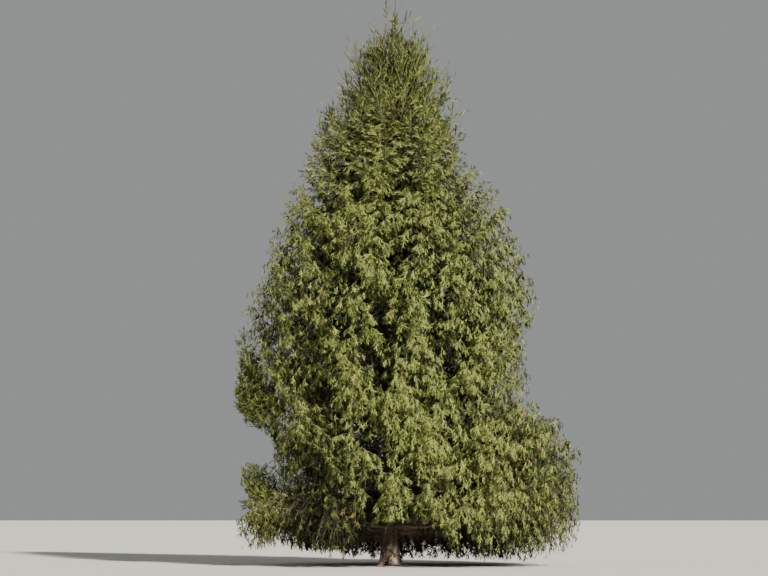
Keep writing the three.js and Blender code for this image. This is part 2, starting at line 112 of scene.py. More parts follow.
def first_draw(seed: int) -> float:
    """Gives the first number of the stream that a limb's solids draw from.

    Args:
        seed: The stream's seed.

    Returns:
        A number from zero to one.
    """
    word, step = 0xFFFFFFFF, 0x6D2B79F5
    state = (seed + step) & word
    mixed = ((state ^ (state >> 15)) * (state | 1)) & word
    mixed ^= (mixed + (((mixed ^ (mixed >> 7)) * (mixed | 61)) & word)) & word
    return ((mixed ^ (mixed >> 14)) & word) / (word + 1)


class Chance:
    """A seeded source of chance."""

    def __init__(self, seed: int) -> None:
        """Starts the source from its seed."""
        self.draw = np.random.default_rng(seed)

    def __call__(self, low: float, high: float, shape: Any = None) -> Any:
        """Draws numbers evenly between low and high."""
        return blend(low, high, self.draw.random(shape))


def linear_colour(sheet: str) -> tuple[float, float, float, float]:
    """Turns an sRGB hex colour to linear.

    Args:
        sheet: The colour as "#rrggbb".

    Returns:
        Linear red, green and blue, and an alpha of one.
    """
    knee, slope, offset, power, full = 0.04045, 12.92, 0.055, 2.4, 255.0
    parts = [int(sheet[i : i + 2], 16) / full for i in (1, 3, 5)]
    red, green, blue = (p / slope if p <= knee else ((p + offset) / (1 + offset)) ** power for p in parts)
    return (red, green, blue, 1.0)


def add_node(tree: bpy.types.NodeTree, kind: str, inputs: dict, output: Any = 0, **settings: Any) -> Any:
    """Adds a node with its settings and links.

    Args:
        tree: The node tree it goes into.
        kind: The node's type name.
        inputs: Its inputs by name or number, each a value or the socket that feeds it.
        output: Which of its outputs is wanted, by name or number.
        settings: Its properties by name.

    Returns:
        The wanted output, or None where it has no outputs.
    """
    node = tree.nodes.new(kind)
    for name, value in settings.items():
        setattr(node, name, value)
    for name, value in inputs.items():
        if isinstance(value, bpy.types.NodeSocket):
            tree.links.new(value, node.inputs[name])
        else:
            node.inputs[name].default_value = value
    return node.outputs[output] if len(node.outputs) else None


def new_material(name: str, roughness: float) -> tuple[bpy.types.Material, bpy.types.Node]:
    """Makes a plain material.

    Args:
        name: Its name.
        roughness: Its roughness.

    Returns:
        The material and its shader.
    """
    made = bpy.data.materials.new(name)
    made.use_nodes = True
    shader = made.node_tree.nodes["Principled BSDF"]
    shader.inputs["Roughness"].default_value = roughness
    return made, shader


def new_object(name: str, points: np.ndarray, edges: Any = (), faces: Any = ()) -> bpy.types.Object:
    """Makes a mesh object at the origin and puts it in the scene.

    Args:
        name: The object's name.
        points: Its vertices.
        edges: Its loose edges, as pairs of vertex numbers.
        faces: Its faces, as rows of vertex numbers.

    Returns:
        The new object.
    """
    mesh = bpy.data.meshes.new(name)
    mesh.from_pydata(np.asarray(points).tolist(), np.asarray(edges).tolist(), [list(f) for f in faces])
    mesh.update()
    made = bpy.data.objects.new(name, mesh)
    bpy.context.scene.collection.objects.link(made)
    return made


def finish_piece(piece: bpy.types.Object, nodes: list[str], bark: Any = None) -> None:
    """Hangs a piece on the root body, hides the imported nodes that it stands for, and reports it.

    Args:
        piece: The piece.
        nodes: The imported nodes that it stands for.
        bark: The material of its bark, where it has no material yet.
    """
    if bark is not None:
        piece.data.materials.append(bark)
        piece.data.shade_smooth()
    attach(piece, "root")
    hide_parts(*nodes)
    LOG.info("%s: %d faces", piece.name, len(piece.data.polygons))


def tube_faces(rings: int, sides: int) -> list[list[int]]:
    """Lists the faces of a closed tube whose ends are single vertices.

    Args:
        rings: How many rings of vertices it has.
        sides: How many vertices a ring has.

    Returns:
        Faces that turn outwards, for rings first, then the start and the end vertex.
    """
    start = rings * sides
    last = start - sides
    around = [(side, (side + 1) % sides) for side in range(sides)]
    faces = []
    for low in range(0, last, sides):
        high = low + sides
        faces += [[low + side, low + after, high + after, high + side] for side, after in around]
    for side, after in around:
        faces += [[start, after, side], [start + 1, last + side, last + after]]
    return faces


def scattered(first: np.ndarray, second: np.ndarray, salt: float) -> np.ndarray:
    """Gives each cell of a grid its own number from zero to one, by its column, its row and a salt."""
    mixed = np.sin(first * SCATTER[0] + second * SCATTER[1] + salt * SCATTER[2]) * SCATTER[3]
    return mixed - np.floor(mixed)


def plate_relief(across: np.ndarray, along: np.ndarray, columns: int, salt: float) -> np.ndarray:
    """Gives the relief of bark that has cracked into plates.

    Args:
        across: Place round the stem, in plates.
        along: Place along the stem, in plates.
        columns: How many plates go round the stem.
        salt: Which set of plates to give.

    Returns:
        Zero in the cracks, up to one on the plates.
    """
    far, crack_width, lowest_plate = 9.0, 0.35, 0.7
    column, row = np.floor(across), np.floor(along)
    nearest = np.full(across.shape, far)
    second = np.full(across.shape, far)
    for right in (-1, 0, 1):
        for up in (-1, 0, 1):
            wrapped = np.mod(column + right, columns)
            x = column + right + scattered(wrapped, row + up, salt) - across
            y = row + up + scattered(wrapped, row + up, salt + 1.0) - along
            gap = np.hypot(x, y)
            second = np.minimum(second, np.maximum(nearest, gap))
            nearest = np.minimum(nearest, gap)
    crack = share_between(second - nearest, 0.0, crack_width)
    return crack * blend(lowest_plate, 1.0, scattered(column, row, salt + 2.0))


@dataclass(frozen=True)
class TrunkShape:
    """Size and lean of the trunk."""

    height: float = 16.9
    lean: float = 0.17
    bow: float = 0.045
    radius: float = 0.275
    taper: float = 0.93
    leader_radius: float = 0.005
    flare_spread: float = 0.095
    flare_height: float = 0.23
    flare_roots: int = 5
    flare_flute: float = 0.17

    def axis(self, z: Any) -> np.ndarray:
        """Gives the middle of the trunk at heights."""
        share = np.clip(np.asarray(z, float) / self.height, 0.0, 1.0)
        return np.stack([self.lean * share, self.bow * np.sin(math.pi * share), z + 0.0 * share], -1)

    def wall(self, z: Any, angle: Any) -> Any:
        """Gives the trunk's radius with its fluted root flare.

        Args:
            z: The height.
            angle: The angle round the trunk.

        Returns:
            The radius there.
        """
        share = np.clip(1.0 - z / self.height, 0.0, 1.0)
        flare = np.exp(-z / self.flare_height)
        flute = 1.0 + self.flare_flute * flare * np.cos(self.flare_roots * angle)
        plain = self.radius * share**self.taper + self.flare_spread * flare
        return np.maximum(self.leader_radius, plain) * flute


@dataclass(frozen=True)
class CrownPatch:
    """A part of the crown that reaches out otherwise than the even rule gives, or is painted lighter or
    darker as light and shade, or has more dry needles.
    """

    azimuth: float
    half_angle: float
    bottom: float
    top: float
    reach: float = 0.0
    light: float = 0.0
    dry: float = 0.0

    def at(self, azimuth: Any, z: Any) -> Any:
        """Gives how far places lie in the patch.

        Args:
            azimuth: Their azimuths.
            z: Their heights.

        Returns:
            The share for each place, one in the patch's middle.
        """
        middle = (self.bottom + self.top) / 2.0
        across = np.abs(turn_from(azimuth, self.azimuth)) / self.half_angle
        along = np.abs(z - middle) / (self.top - middle)
        return (1.0 - share_between(across, *PATCH_FADE)) * (1.0 - share_between(along, *PATCH_FADE))


def crown_patches() -> tuple[CrownPatch, ...]:
    """Returns the crown's hollows and swells, then its parts of painted shade, some with more dry needles,
    and of painted sunlight.
    """
    return (
        CrownPatch(4.05, 0.25, 0.6, 3.6, reach=-1.1),
        CrownPatch(-0.1, 0.9, 4.2, 7.2, reach=-0.5),
        CrownPatch(-0.1, 0.9, 11.2, 13.9, reach=-0.55),
        CrownPatch(0.0, 0.9, 7.2, 10.9, reach=0.25),
        CrownPatch(3.2, 0.8, 9.0, 12.4, reach=-0.02),
        CrownPatch(3.14, 0.5, 6.4, 8.2, reach=0.3),
        CrownPatch(3.14, 0.8, -1.5, 3.0, reach=-0.25),
        CrownPatch(-0.78, 0.16, 3.8, 5.2, reach=-0.9, light=-0.25),
        CrownPatch(4.07, 0.16, 4.8, 6.8, reach=-0.9, light=-0.2),
        CrownPatch(-1.72, 0.2, 4.3, 6.1, light=-0.12, dry=0.08),
        CrownPatch(4.1, 0.5, 0.0, 3.7, light=-0.46, dry=0.06),
        CrownPatch(-0.1, 0.55, 0.0, 4.7, light=-0.3),
        CrownPatch(-1.45, 0.8, 2.2, 6.2, light=0.18),
        CrownPatch(-0.85, 0.35, 1.2, 4.2, light=0.12),
        CrownPatch(3.9, 0.6, 4.5, 8.8, light=-0.07),
        CrownPatch(-0.6, 0.5, 4.5, 9.5, light=-0.01),
        CrownPatch(0.0, 8.0, 12.8, 19.0, light=-0.1),
        CrownPatch(0.0, 8.0, 4.4, 12.0, light=0.05),
        CrownPatch(-2.05, 0.8, 8.5, 14.0, light=0.22),
    )


@dataclass(frozen=True)
class CrownOutline:
    """The crown's reach from the trunk, and how low its skirt hangs."""

    height: float = 16.9
    radius: float = 4.66
    belly: float = 3.0
    curve: float = 1.85
    right_spread: float = 0.78
    right_azimuth: float = -0.1
    right_fade: Span = (3.45, 4.85)
    hollow_depth: float = 1.25
    hollow_over: Span = (1.85, 2.2)
    hollow_under: Span = (3.6, 4.55)
    ground_air: float = 0.09
    arch_height: float = 1.15
    arch_half_angle: float = 0.4
    arch_turn: float = 0.08
    left_hem_rise: float = 0.38
    patches: tuple[CrownPatch, ...] = field(default_factory=crown_patches)

    def reach(self, z: Any, azimuth: Any) -> Any:
        """Gives how far the even crown goes from the trunk.

        Args:
            z: The height.
            azimuth: The azimuth.

        Returns:
            The distance from the trunk's middle.
        """
        even = self.radius * (1.0 - share_between(z, self.belly, self.height) ** self.curve)
        to_right = np.maximum(0.0, np.cos(azimuth - self.right_azimuth)) ** 3
        right = self.right_spread * to_right * (1.0 - share_between(z, *self.right_fade))
        to_left = np.maximum(0.0, -np.cos(azimuth)) ** 2
        level = share_between(z, *self.hollow_over) * (1.0 - share_between(z, *self.hollow_under))
        patches = sum(p.reach * p.at(azimuth, z) for p in self.patches if p.reach)
        return even + right - self.hollow_depth * to_left * level + patches

    def hem(self, azimuth: Any) -> Any:
        """Gives how low the skirt hangs: near the ground, but for the arch in front and the left.

        Args:
            azimuth: The azimuth.

        Returns:
            The lowest height of the foliage there.
        """
        off = turn_from(azimuth, FRONT + self.arch_turn) / self.arch_half_angle
        arch = self.arch_height * np.exp(-(off**4))
        left = self.left_hem_rise * np.maximum(0.0, -np.cos(azimuth)) ** 2
        return self.ground_air + np.maximum(arch, left)


@dataclass(frozen=True)
class Tier:
    """One tier of main limbs, which share their height at the trunk and their shape."""

    name: str
    limbs: int
    root_height: float
    slope: float
    lift: float
    first_turn: float
    bare_share: float

    def azimuth(self, index: int) -> float:
        """Returns the azimuth of a limb by its number in the tier."""
        return FULL_TURN * self.first_turn + FULL_TURN * index / self.limbs

    def masses(self) -> list[str]:
        """Returns the names of the tier's masses."""
        return [f"mass_{self.name}_{index + 1}" for index in range(self.limbs)]


@dataclass(frozen=True)
class TurnedUpEnd:
    """The space of a limb end that turns straight up beside the crown."""

    azimuth: float
    base: float
    top: float
    base_inner: float
    top_inner: float
    reach: float
    gap: float
    leader: float
    half_angle: float = 0.2
    foot: float = 0.8
    nearest: float = 0.1

    def inner(self, z: Any) -> Any:
        """Gives how far from the trunk's middle the space starts at heights."""
        return blend(self.base_inner, self.top_inner, share_between(z, self.base, self.top))

    def holds(self, azimuth: Any, distance: Any, z: Any, margin: float) -> Any:
        """Tells whether points lie in the space grown by a margin.

        Args:
            azimuth: The points' azimuths.
            distance: Their distances from the trunk's middle.
            z: Their heights.
            margin: How far the space is grown.

        Returns:
            True for each point that lies in it.
        """
        half_angle = self.half_angle + margin / np.maximum(distance, self.nearest)
        side = np.abs(turn_from(azimuth, self.azimuth)) < half_angle
        level = (z > self.base - margin) & (z < self.top + margin)
        outer = self.reach + margin - self.foot * (1.0 - share_between(z, self.base, self.base + self.foot))
        return side & level & (distance > self.inner(z) - margin) & (distance < outer)


@dataclass
class Limb:
    """One limb, from the trunk to its tip."""

    path: np.ndarray
    azimuth: float
    tier: str
    root_height: float
    bare_share: float
    root_radius: float
    mid_radius: float
    own_space: TurnedUpEnd | None = None
    free: bool = False

    def length(self) -> float:
        """Returns the limb's length."""
        return float(np.linalg.norm(np.diff(self.path, axis=0), axis=1).sum())

    def at(self, shares: np.ndarray) -> tuple[np.ndarray, np.ndarray]:
        """Gives points along the limb and the way it goes there.

        Args:
            shares: Shares of the limb's length.

        Returns:
            The points, and directions of length one.
        """
        along = np.concatenate([[0.0], np.cumsum(np.linalg.norm(np.diff(self.path, axis=0), axis=1))])
        along /= along[-1]
        heading = unit(np.gradient(self.path, along, axis=0))
        points, headings = (
            np.stack([np.interp(shares, along, rows[:, i]) for i in range(3)], -1)
            for rows in (self.path, heading)
        )
        return points, unit(headings)

    def frame(self, headings: np.ndarray) -> tuple[np.ndarray, np.ndarray]:
        """Gives the directions to the limb's left and over it, by the ways it goes."""
        across = np.broadcast_to([-math.sin(self.azimuth), math.cos(self.azimuth), 0.0], headings.shape)
        return across, np.cross(headings, across)

    def radius(self, shares: np.ndarray, tip: float) -> np.ndarray:
        """Gives the limb's radius, which tapers slowly to where the needles start, then to the tip's."""
        bare = max(self.bare_share, LEAST_BARE_SHARE)
        return np.interp(shares, [0.0, bare, 1.0], [self.root_radius, self.mid_radius, tip])


def main_tiers() -> tuple[Tier, ...]:
    """Returns the nine tiers of main limbs, from the ground up."""
    return (
        Tier("skirt", 7, 1.1, 0.02, 0.05, 0.528, 0.36),
        Tier("low", 7, 3.05, -0.05, 0.28, 0.5, 0.36),
        Tier("lower_middle", 6, 4.65, 0.05, 0.32, 0.19, 0.25),
        Tier("middle", 6, 6.45, 0.15, 0.35, 0.06, 0.25),
        Tier("upper_middle", 5, 8.35, 0.3, 0.35, 0.0, 0.25),
        Tier("upper", 4, 10.25, 0.5, 0.35, 0.06, 0.22),
        Tier("high", 4, 12.15, 0.7, 0.35, 0.19, 0.18),
        Tier("crest", 3, 13.85, 1.0, 0.35, 0.02, 0.12),
        Tier("tip", 3, 15.15, 1.5, 0.3, 0.2, 0.08),
    )


def turned_up_ends() -> dict[str, TurnedUpEnd]:
    """Returns the two limb ends on the left that turn straight up, by tier."""
    low_azimuth, tall_azimuth = FULL_TURN * 0.528, FULL_TURN * 0.5
    return {
        "skirt": TurnedUpEnd(low_azimuth, 1.5, 2.93, 2.7, 3.6, reach=4.35, gap=0.12, leader=0.35),
        "low": TurnedUpEnd(tall_azimuth, 3.95, 6.55, 2.9, 4.18, reach=4.5, gap=0.22, leader=0.65),
    }


class TopLimb(NamedTuple):
    """One of the steep limbs of the top: its azimuth, its reach, and the heights of its root and tip."""

    azimuth: float
    reach: float
    root_height: float
    tip_height: float


def top_limbs() -> list[TopLimb]:
    """Returns the steep limbs of the top, from the leader down."""
    leader = [(3.34, 0.28, 16.0, 16.7), (-0.2, 0.35, 15.9, 16.38), (1.6, 0.2, 15.95, 16.4)]
    leader += [(4.6, 0.16, 15.9, 16.2)]
    first = [(2.99, 0.6, 15.25, 15.97), (-0.1, 0.84, 14.95, 15.75), (-0.6, 0.7, 15.05, 15.7)]
    first += [(-1.3, 0.5, 15.05, 15.55), (4.2, 0.5, 15.0, 15.5), (2.0, 0.5, 15.0, 15.55)]
    first += [(0.9, 0.6, 15.0, 15.6)]
    second = [(3.5, 0.8, 14.7, 15.25), (-0.25, 1.0, 14.55, 15.23), (-1.0, 0.85, 14.6, 15.15)]
    second += [(-1.8, 0.75, 14.65, 15.1), (4.0, 0.8, 14.6, 15.15), (1.5, 0.8, 14.6, 15.2)]
    second += [(2.4, 0.8, 14.6, 15.2), (0.6, 0.8, 14.6, 15.2)]
    third = [(3.24, 1.2, 13.85, 15.38), (3.05, 1.02, 13.95, 15.22), (0.2, 1.28, 13.8, 14.72)]
    third += [(-0.35, 1.2, 13.85, 14.55), (2.85, 1.5, 13.3, 14.6), (3.5, 1.35, 13.4, 14.35)]
    third += [(-0.1, 1.58, 13.1, 14.4), (0.35, 1.5, 13.2, 14.1), (1.2, 1.35, 13.4, 14.5)]
    third += [(2.1, 1.4, 13.4, 14.4)]
    fourth = [(3.3, 1.82, 12.35, 13.52), (3.1, 1.66, 12.45, 13.5), (2.9, 2.1, 11.8, 13.1)]
    fourth += [(3.45, 2.05, 11.75, 12.9), (-0.2, 1.75, 12.3, 13.5), (0.15, 1.85, 11.9, 13.0)]
    fourth += [(1.5, 1.9, 12.0, 13.3), (2.3, 1.9, 12.1, 13.2), (0.7, 1.9, 12.1, 13.25)]
    return [TopLimb(*place) for place in leader + first + second + third + fourth]


@dataclass(frozen=True)
class GrowthRule:
    """The rule that the solids' limbs and the finer growth both follow."""

    trunk: TrunkShape = TrunkShape()
    crown: CrownOutline = CrownOutline()
    tiers: tuple[Tier, ...] = field(default_factory=main_tiers)
    turned_up: dict[str, TurnedUpEnd] = field(default_factory=turned_up_ends)
    hanging_share: float = 0.66
    left_facing: float = 0.5
    over_turned_up: float = 4.3
    own_margin: float = 0.05
    other_margin: float = 0.1
    lowest: float = 0.03

    def edge(self, z: Any, azimuth: Any, root_height: float) -> Any:
        """Gives how far a limb's foliage may go from the trunk.

        Args:
            z: The height.
            azimuth: The azimuth.
            root_height: Where the limb leaves the trunk.

        Returns:
            The distance from the trunk's middle.
        """
        reach = self.crown.reach(z, azimuth)
        end = self.turned_up["low"]
        if root_height < self.over_turned_up:
            return reach
        leftward = -np.cos(azimuth)
        beside = (leftward > self.left_facing) & (np.asarray(z) < end.top)
        limit = (end.inner(z) - end.gap) / np.maximum(leftward, self.left_facing)
        return np.where(beside, np.minimum(reach, limit), reach)

    def settled_reach(self, root_height: float, slope: float, lift: float, azimuth: float) -> float:
        """Finds where a limb of a given shape meets the crown's outline.

        Args:
            root_height: Where it leaves the trunk.
            slope: Its rise per run at the trunk.
            lift: How much its outer end turns up.
            azimuth: The way it points.

        Returns:
            Its distance from the trunk's middle there.
        """
        reach = self.crown.radius
        for _ in range(SETTLING_STEPS):
            tip = root_height + reach * (slope + lift)
            reach = blend(reach, float(self.edge(tip, azimuth, root_height)), 0.5)
        return reach

    def shape_at(self, root_height: float) -> tuple[float, ...]:
        """Gives the slope, the lift and the bare share of a limb between the main tiers.

        Args:
            root_height: Where it leaves the trunk.

        Returns:
            The three numbers.
        """
        heights = [tier.root_height for tier in self.tiers]
        shapes = zip(*[(tier.slope, tier.lift, tier.bare_share) for tier in self.tiers])
        return tuple(float(np.interp(root_height, heights, values)) for values in shapes)

    def tier_at(self, root_height: float) -> str:
        """Gives the name of the tier that a limb belongs to.

        Args:
            root_height: Where it leaves the trunk.

        Returns:
            The tier's name.
        """
        roots = np.array([tier.root_height for tier in self.tiers])
        borders = blend(roots[:-1], roots[1:], 1.0 - self.hanging_share)
        return self.tiers[int(np.searchsorted(borders, root_height))].name

    def place(self, azimuth: Any, distance: Any, z: Any) -> np.ndarray:
        """Gives points by azimuth, distance from the trunk's middle and height."""
        return self.trunk.axis(z) + distance[..., None] * outward(azimuth)

    def polar(self, points: np.ndarray) -> tuple[np.ndarray, np.ndarray]:
        """Gives the azimuths of points, and their distances from the trunk's middle."""
        off = points - self.trunk.axis(points[..., 2])
        return np.arctan2(off[..., 1], off[..., 0]), np.hypot(off[..., 0], off[..., 1])

    def allows(self, points: np.ndarray, limb: Limb, slack: Any) -> np.ndarray:
        """Tells which points a limb's foliage may reach.

        Args:
            points: The points.
            limb: The limb that the foliage grows on.
            slack: How far over the crown's outline it may stand, as a share.

        Returns:
            True for each point that it may reach.
        """
        azimuth, distance = self.polar(points)
        z = points[..., 2]
        inside = (distance < self.edge(z, azimuth, limb.root_height) * (1.0 + slack)) | limb.free
        for end in self.turned_up.values():
            if end is limb.own_space:
                inside |= end.holds(azimuth, distance, z, self.own_margin)
            else:
                inside &= ~end.holds(azimuth, distance, z, self.other_margin)
        return inside & (z > self.crown.hem(azimuth)) & (z > self.lowest)


def smooth_path(knots: np.ndarray, steps: int) -> np.ndarray:
    """Draws an even curve through points, with the pace of a centripetal spline.

    Args:
        knots: The points that it goes through.
        steps: How many points it has between two of them.

    Returns:
        Points along the curve.
    """
    ends = [2.0 * knots[0] - knots[1], *knots, 2.0 * knots[-1] - knots[-2]]
    drawn = []
    for before, start, end, after in zip(ends, ends[1:], ends[2:], ends[3:]):
        pace = [np.linalg.norm(b - a) ** 0.5 for a, b in ((before, start), (start, end), (end, after))]
        first = (start - before) / pace[0] - (end - before) / (pace[0] + pace[1]) + (end - start) / pace[1]
        last = (end - start) / pace[1] - (after - start) / (pace[1] + pace[2]) + (after - end) / pace[2]
        first, last = first * pace[1], last * pace[1]
        t = np.linspace(0.0, 1.0, steps, endpoint=False)[:, None]
        bend = 3.0 * (end - start) - 2.0 * first - last
        curl = 2.0 * (start - end) + first + last
        drawn.append(start + first * t + bend * t**2 + curl * t**3)
    return np.concatenate([*drawn, knots[-1:]])


@dataclass(frozen=True)
class Bark:
    """Old spruce bark: grey-brown scales with dark cracks, and paler tan patches round the root flare.

    It gives the eye small plates with dark joints, and pale patches near the ground.
    """

    plate: str = "#5F5145"
    crack: str = "#1F1813"
    pale_tan: str = "#DCC4B0"
    scale_mm: float = 55.0
    scale_length: float = 0.6
    speck_mm: float = 22.0
    speck_detail: float = 5.0
    patch_mm: float = 500.0 / 3.0
    patch_detail: float = 3.0
    roughness: float = 0.95
    relief_mm: float = 6.0
    relief_strength: float = 0.8
    joint_width: float = 0.12
    joint_tones: Span = (0.1, 0.5)
    pale_height: float = 0.6
    pale_most: float = 1.6
    pale_spots: Span = (0.42, 0.46)

    def material(self) -> bpy.types.Material:
        """Returns the bark as a material, its pattern read from place on the piece."""
        made, shader = new_material("scaly_bark", self.roughness)
        tree = made.node_tree
        place = add_node(tree, "ShaderNodeTexCoord", {}, "Object")
        long_plates = {"Vector": place, "Scale": (1.0, 1.0, self.scale_length)}
        stretched = add_node(tree, "ShaderNodeMapping", long_plates, "Vector")
        size = {"Vector": stretched, "Scale": MM_PER_METRE / self.scale_mm}
        plates = add_node(tree, "ShaderNodeTexVoronoi", size, "Distance", feature="DISTANCE_TO_EDGE")
        size = {"Vector": place, "Scale": MM_PER_METRE / self.speck_mm, "Detail": self.speck_detail}
        specks = add_node(tree, "ShaderNodeTexNoise", size, "Fac")
        size = {"Vector": place, "Scale": MM_PER_METRE / self.patch_mm, "Detail": self.patch_detail}
        patches = add_node(tree, "ShaderNodeTexNoise", size, "Fac")
        limits = {"Value": plates, "From Max": self.joint_width}
        joint = add_node(tree, "ShaderNodeMapRange", limits, "Result")
        rough = add_node(tree, "ShaderNodeMath", {0: joint, 1: specks}, operation="MULTIPLY")
        # Paler tan in patches, strongest at the ground and gone by a set height.
        height = add_node(tree, "ShaderNodeSeparateXYZ", {"Vector": place}, "Z")
        limits = {"Value": height, "From Max": self.pale_height, "To Min": self.pale_most, "To Max": 0.0}
        low = add_node(tree, "ShaderNodeMapRange", limits, "Result")
        limits = {"Value": patches, "From Min": self.pale_spots[0], "From Max": self.pale_spots[1]}
        patchy = add_node(tree, "ShaderNodeMapRange", limits, "Result")
        paleness = add_node(tree, "ShaderNodeMath", {0: low, 1: patchy}, operation="MULTIPLY")
        tones = {0: paleness, MIX_LOW: linear_colour(self.plate), MIX_HIGH: linear_colour(self.pale_tan)}
        surface = add_node(tree, "ShaderNodeMix", tones, MIX_RESULT, data_type="RGBA")
        limits = {"Value": rough, "From Min": self.joint_tones[0], "From Max": self.joint_tones[1]}
        shown = add_node(tree, "ShaderNodeMapRange", limits, "Result")
        tones = {0: shown, MIX_LOW: linear_colour(self.crack), MIX_HIGH: surface}
        colour = add_node(tree, "ShaderNodeMix", tones, MIX_RESULT, data_type="RGBA")
        tree.links.new(colour, shader.inputs["Base Color"])
        deep = self.relief_mm / MM_PER_METRE
        raised = {"Height": rough, "Distance": deep, "Strength": self.relief_strength}
        tree.links.new(add_node(tree, "ShaderNodeBump", raised, "Normal"), shader.inputs["Normal"])
        return made


@dataclass(frozen=True)
class TwigBark:
    """Thin bark of the finer twigs: even brown, matt, too fine for plates."""

    light: str = "#8C7B68"
    dark: str = "#4F4133"
    scale_mm: float = 120.0
    detail: float = 2.0
    roughness: float = 0.9

    def material(self) -> bpy.types.Material:
        """Returns the bark as a material with soft patches."""
        made, shader = new_material("twig_bark", self.roughness)
        tree = made.node_tree
        place = add_node(tree, "ShaderNodeTexCoord", {}, "Object")
        size = {"Vector": place, "Scale": MM_PER_METRE / self.scale_mm, "Detail": self.detail}
        patches = add_node(tree, "ShaderNodeTexNoise", size, "Fac")
        tones = {0: patches, MIX_LOW: linear_colour(self.dark), MIX_HIGH: linear_colour(self.light)}
        colour = add_node(tree, "ShaderNodeMix", tones, MIX_RESULT, data_type="RGBA")
        tree.links.new(colour, shader.inputs["Base Color"])
        return made


class NeedleTone(Enum):
    """The plain base colours of needles, from painted sunlight on the outside to painted shade deep inside,
    then dry ones.
    """

    # The first tone stands for painted sunlight, the two darkest for painted shade.
    SUNNED = ("sunned_needles", "#8F9652")
    OLIVE = ("olive_needles", "#74813F")
    GREEN = ("green_needles", "#556526")
    DEEP = ("deep_green_needles", "#303A0F")
    INNER = ("inner_needles", "#131804")
    DRY = ("dry_needles", "#6C6239")


@dataclass(frozen=True)
class Needles:
    """Waxy spruce needles: one plain colour to a spray, with a soft sheen from the wax."""

    tone: NeedleTone
    roughness: float = 0.62
    gloss: float = 0.28

    def material(self) -> bpy.types.Material:
        """Returns the needles' material."""
        name, sheet = self.tone.value
        made, shader = new_material(name, self.roughness)
        shader.inputs["Base Color"].default_value = linear_colour(sheet)
        shader.inputs["Specular IOR Level"].default_value = self.gloss
        return made


@dataclass
class Trunk:
    """The trunk as one closed mesh with the relief of its bark."""

    rule: GrowthRule
    sides: int = 72
    rings: int = 230
    ring_crowding: float = 1.7
    plate_width: float = 0.062
    plate_length: float = 0.085
    relief: float = 0.011
    relief_fade: float = 0.7

    def build(self) -> bpy.types.Object:
        """Returns the trunk from its flat ground cut to its tip."""
        shape = self.rule.trunk
        heights = shape.height * np.linspace(0.0, 1.0, self.rings) ** self.ring_crowding
        z, angle = np.meshgrid(heights, np.arange(self.sides) * FULL_TURN / self.sides, indexing="ij")
        columns = round(FULL_TURN * shape.radius / self.plate_width)
        relief = plate_relief(angle / FULL_TURN * columns, z / self.plate_length, columns, 1.0)
        fade = share_between(shape.height - z, 0.0, shape.height) ** self.relief_fade
        radius = shape.wall(z, angle) + self.relief * fade * (relief - 0.5)
        wall = self.rule.place(angle, np.maximum(radius, shape.leader_radius), z)
        points = np.concatenate([wall.reshape(-1, 3), shape.axis(np.array([0.0, shape.height]))])
        return new_object("trunk_bark", points, faces=tube_faces(self.rings, self.sides))

    def make(self, bark: bpy.types.Material) -> None:
        """Builds the trunk and dresses it in its bark."""
        finish_piece(self.build(), ["trunk"], bark)


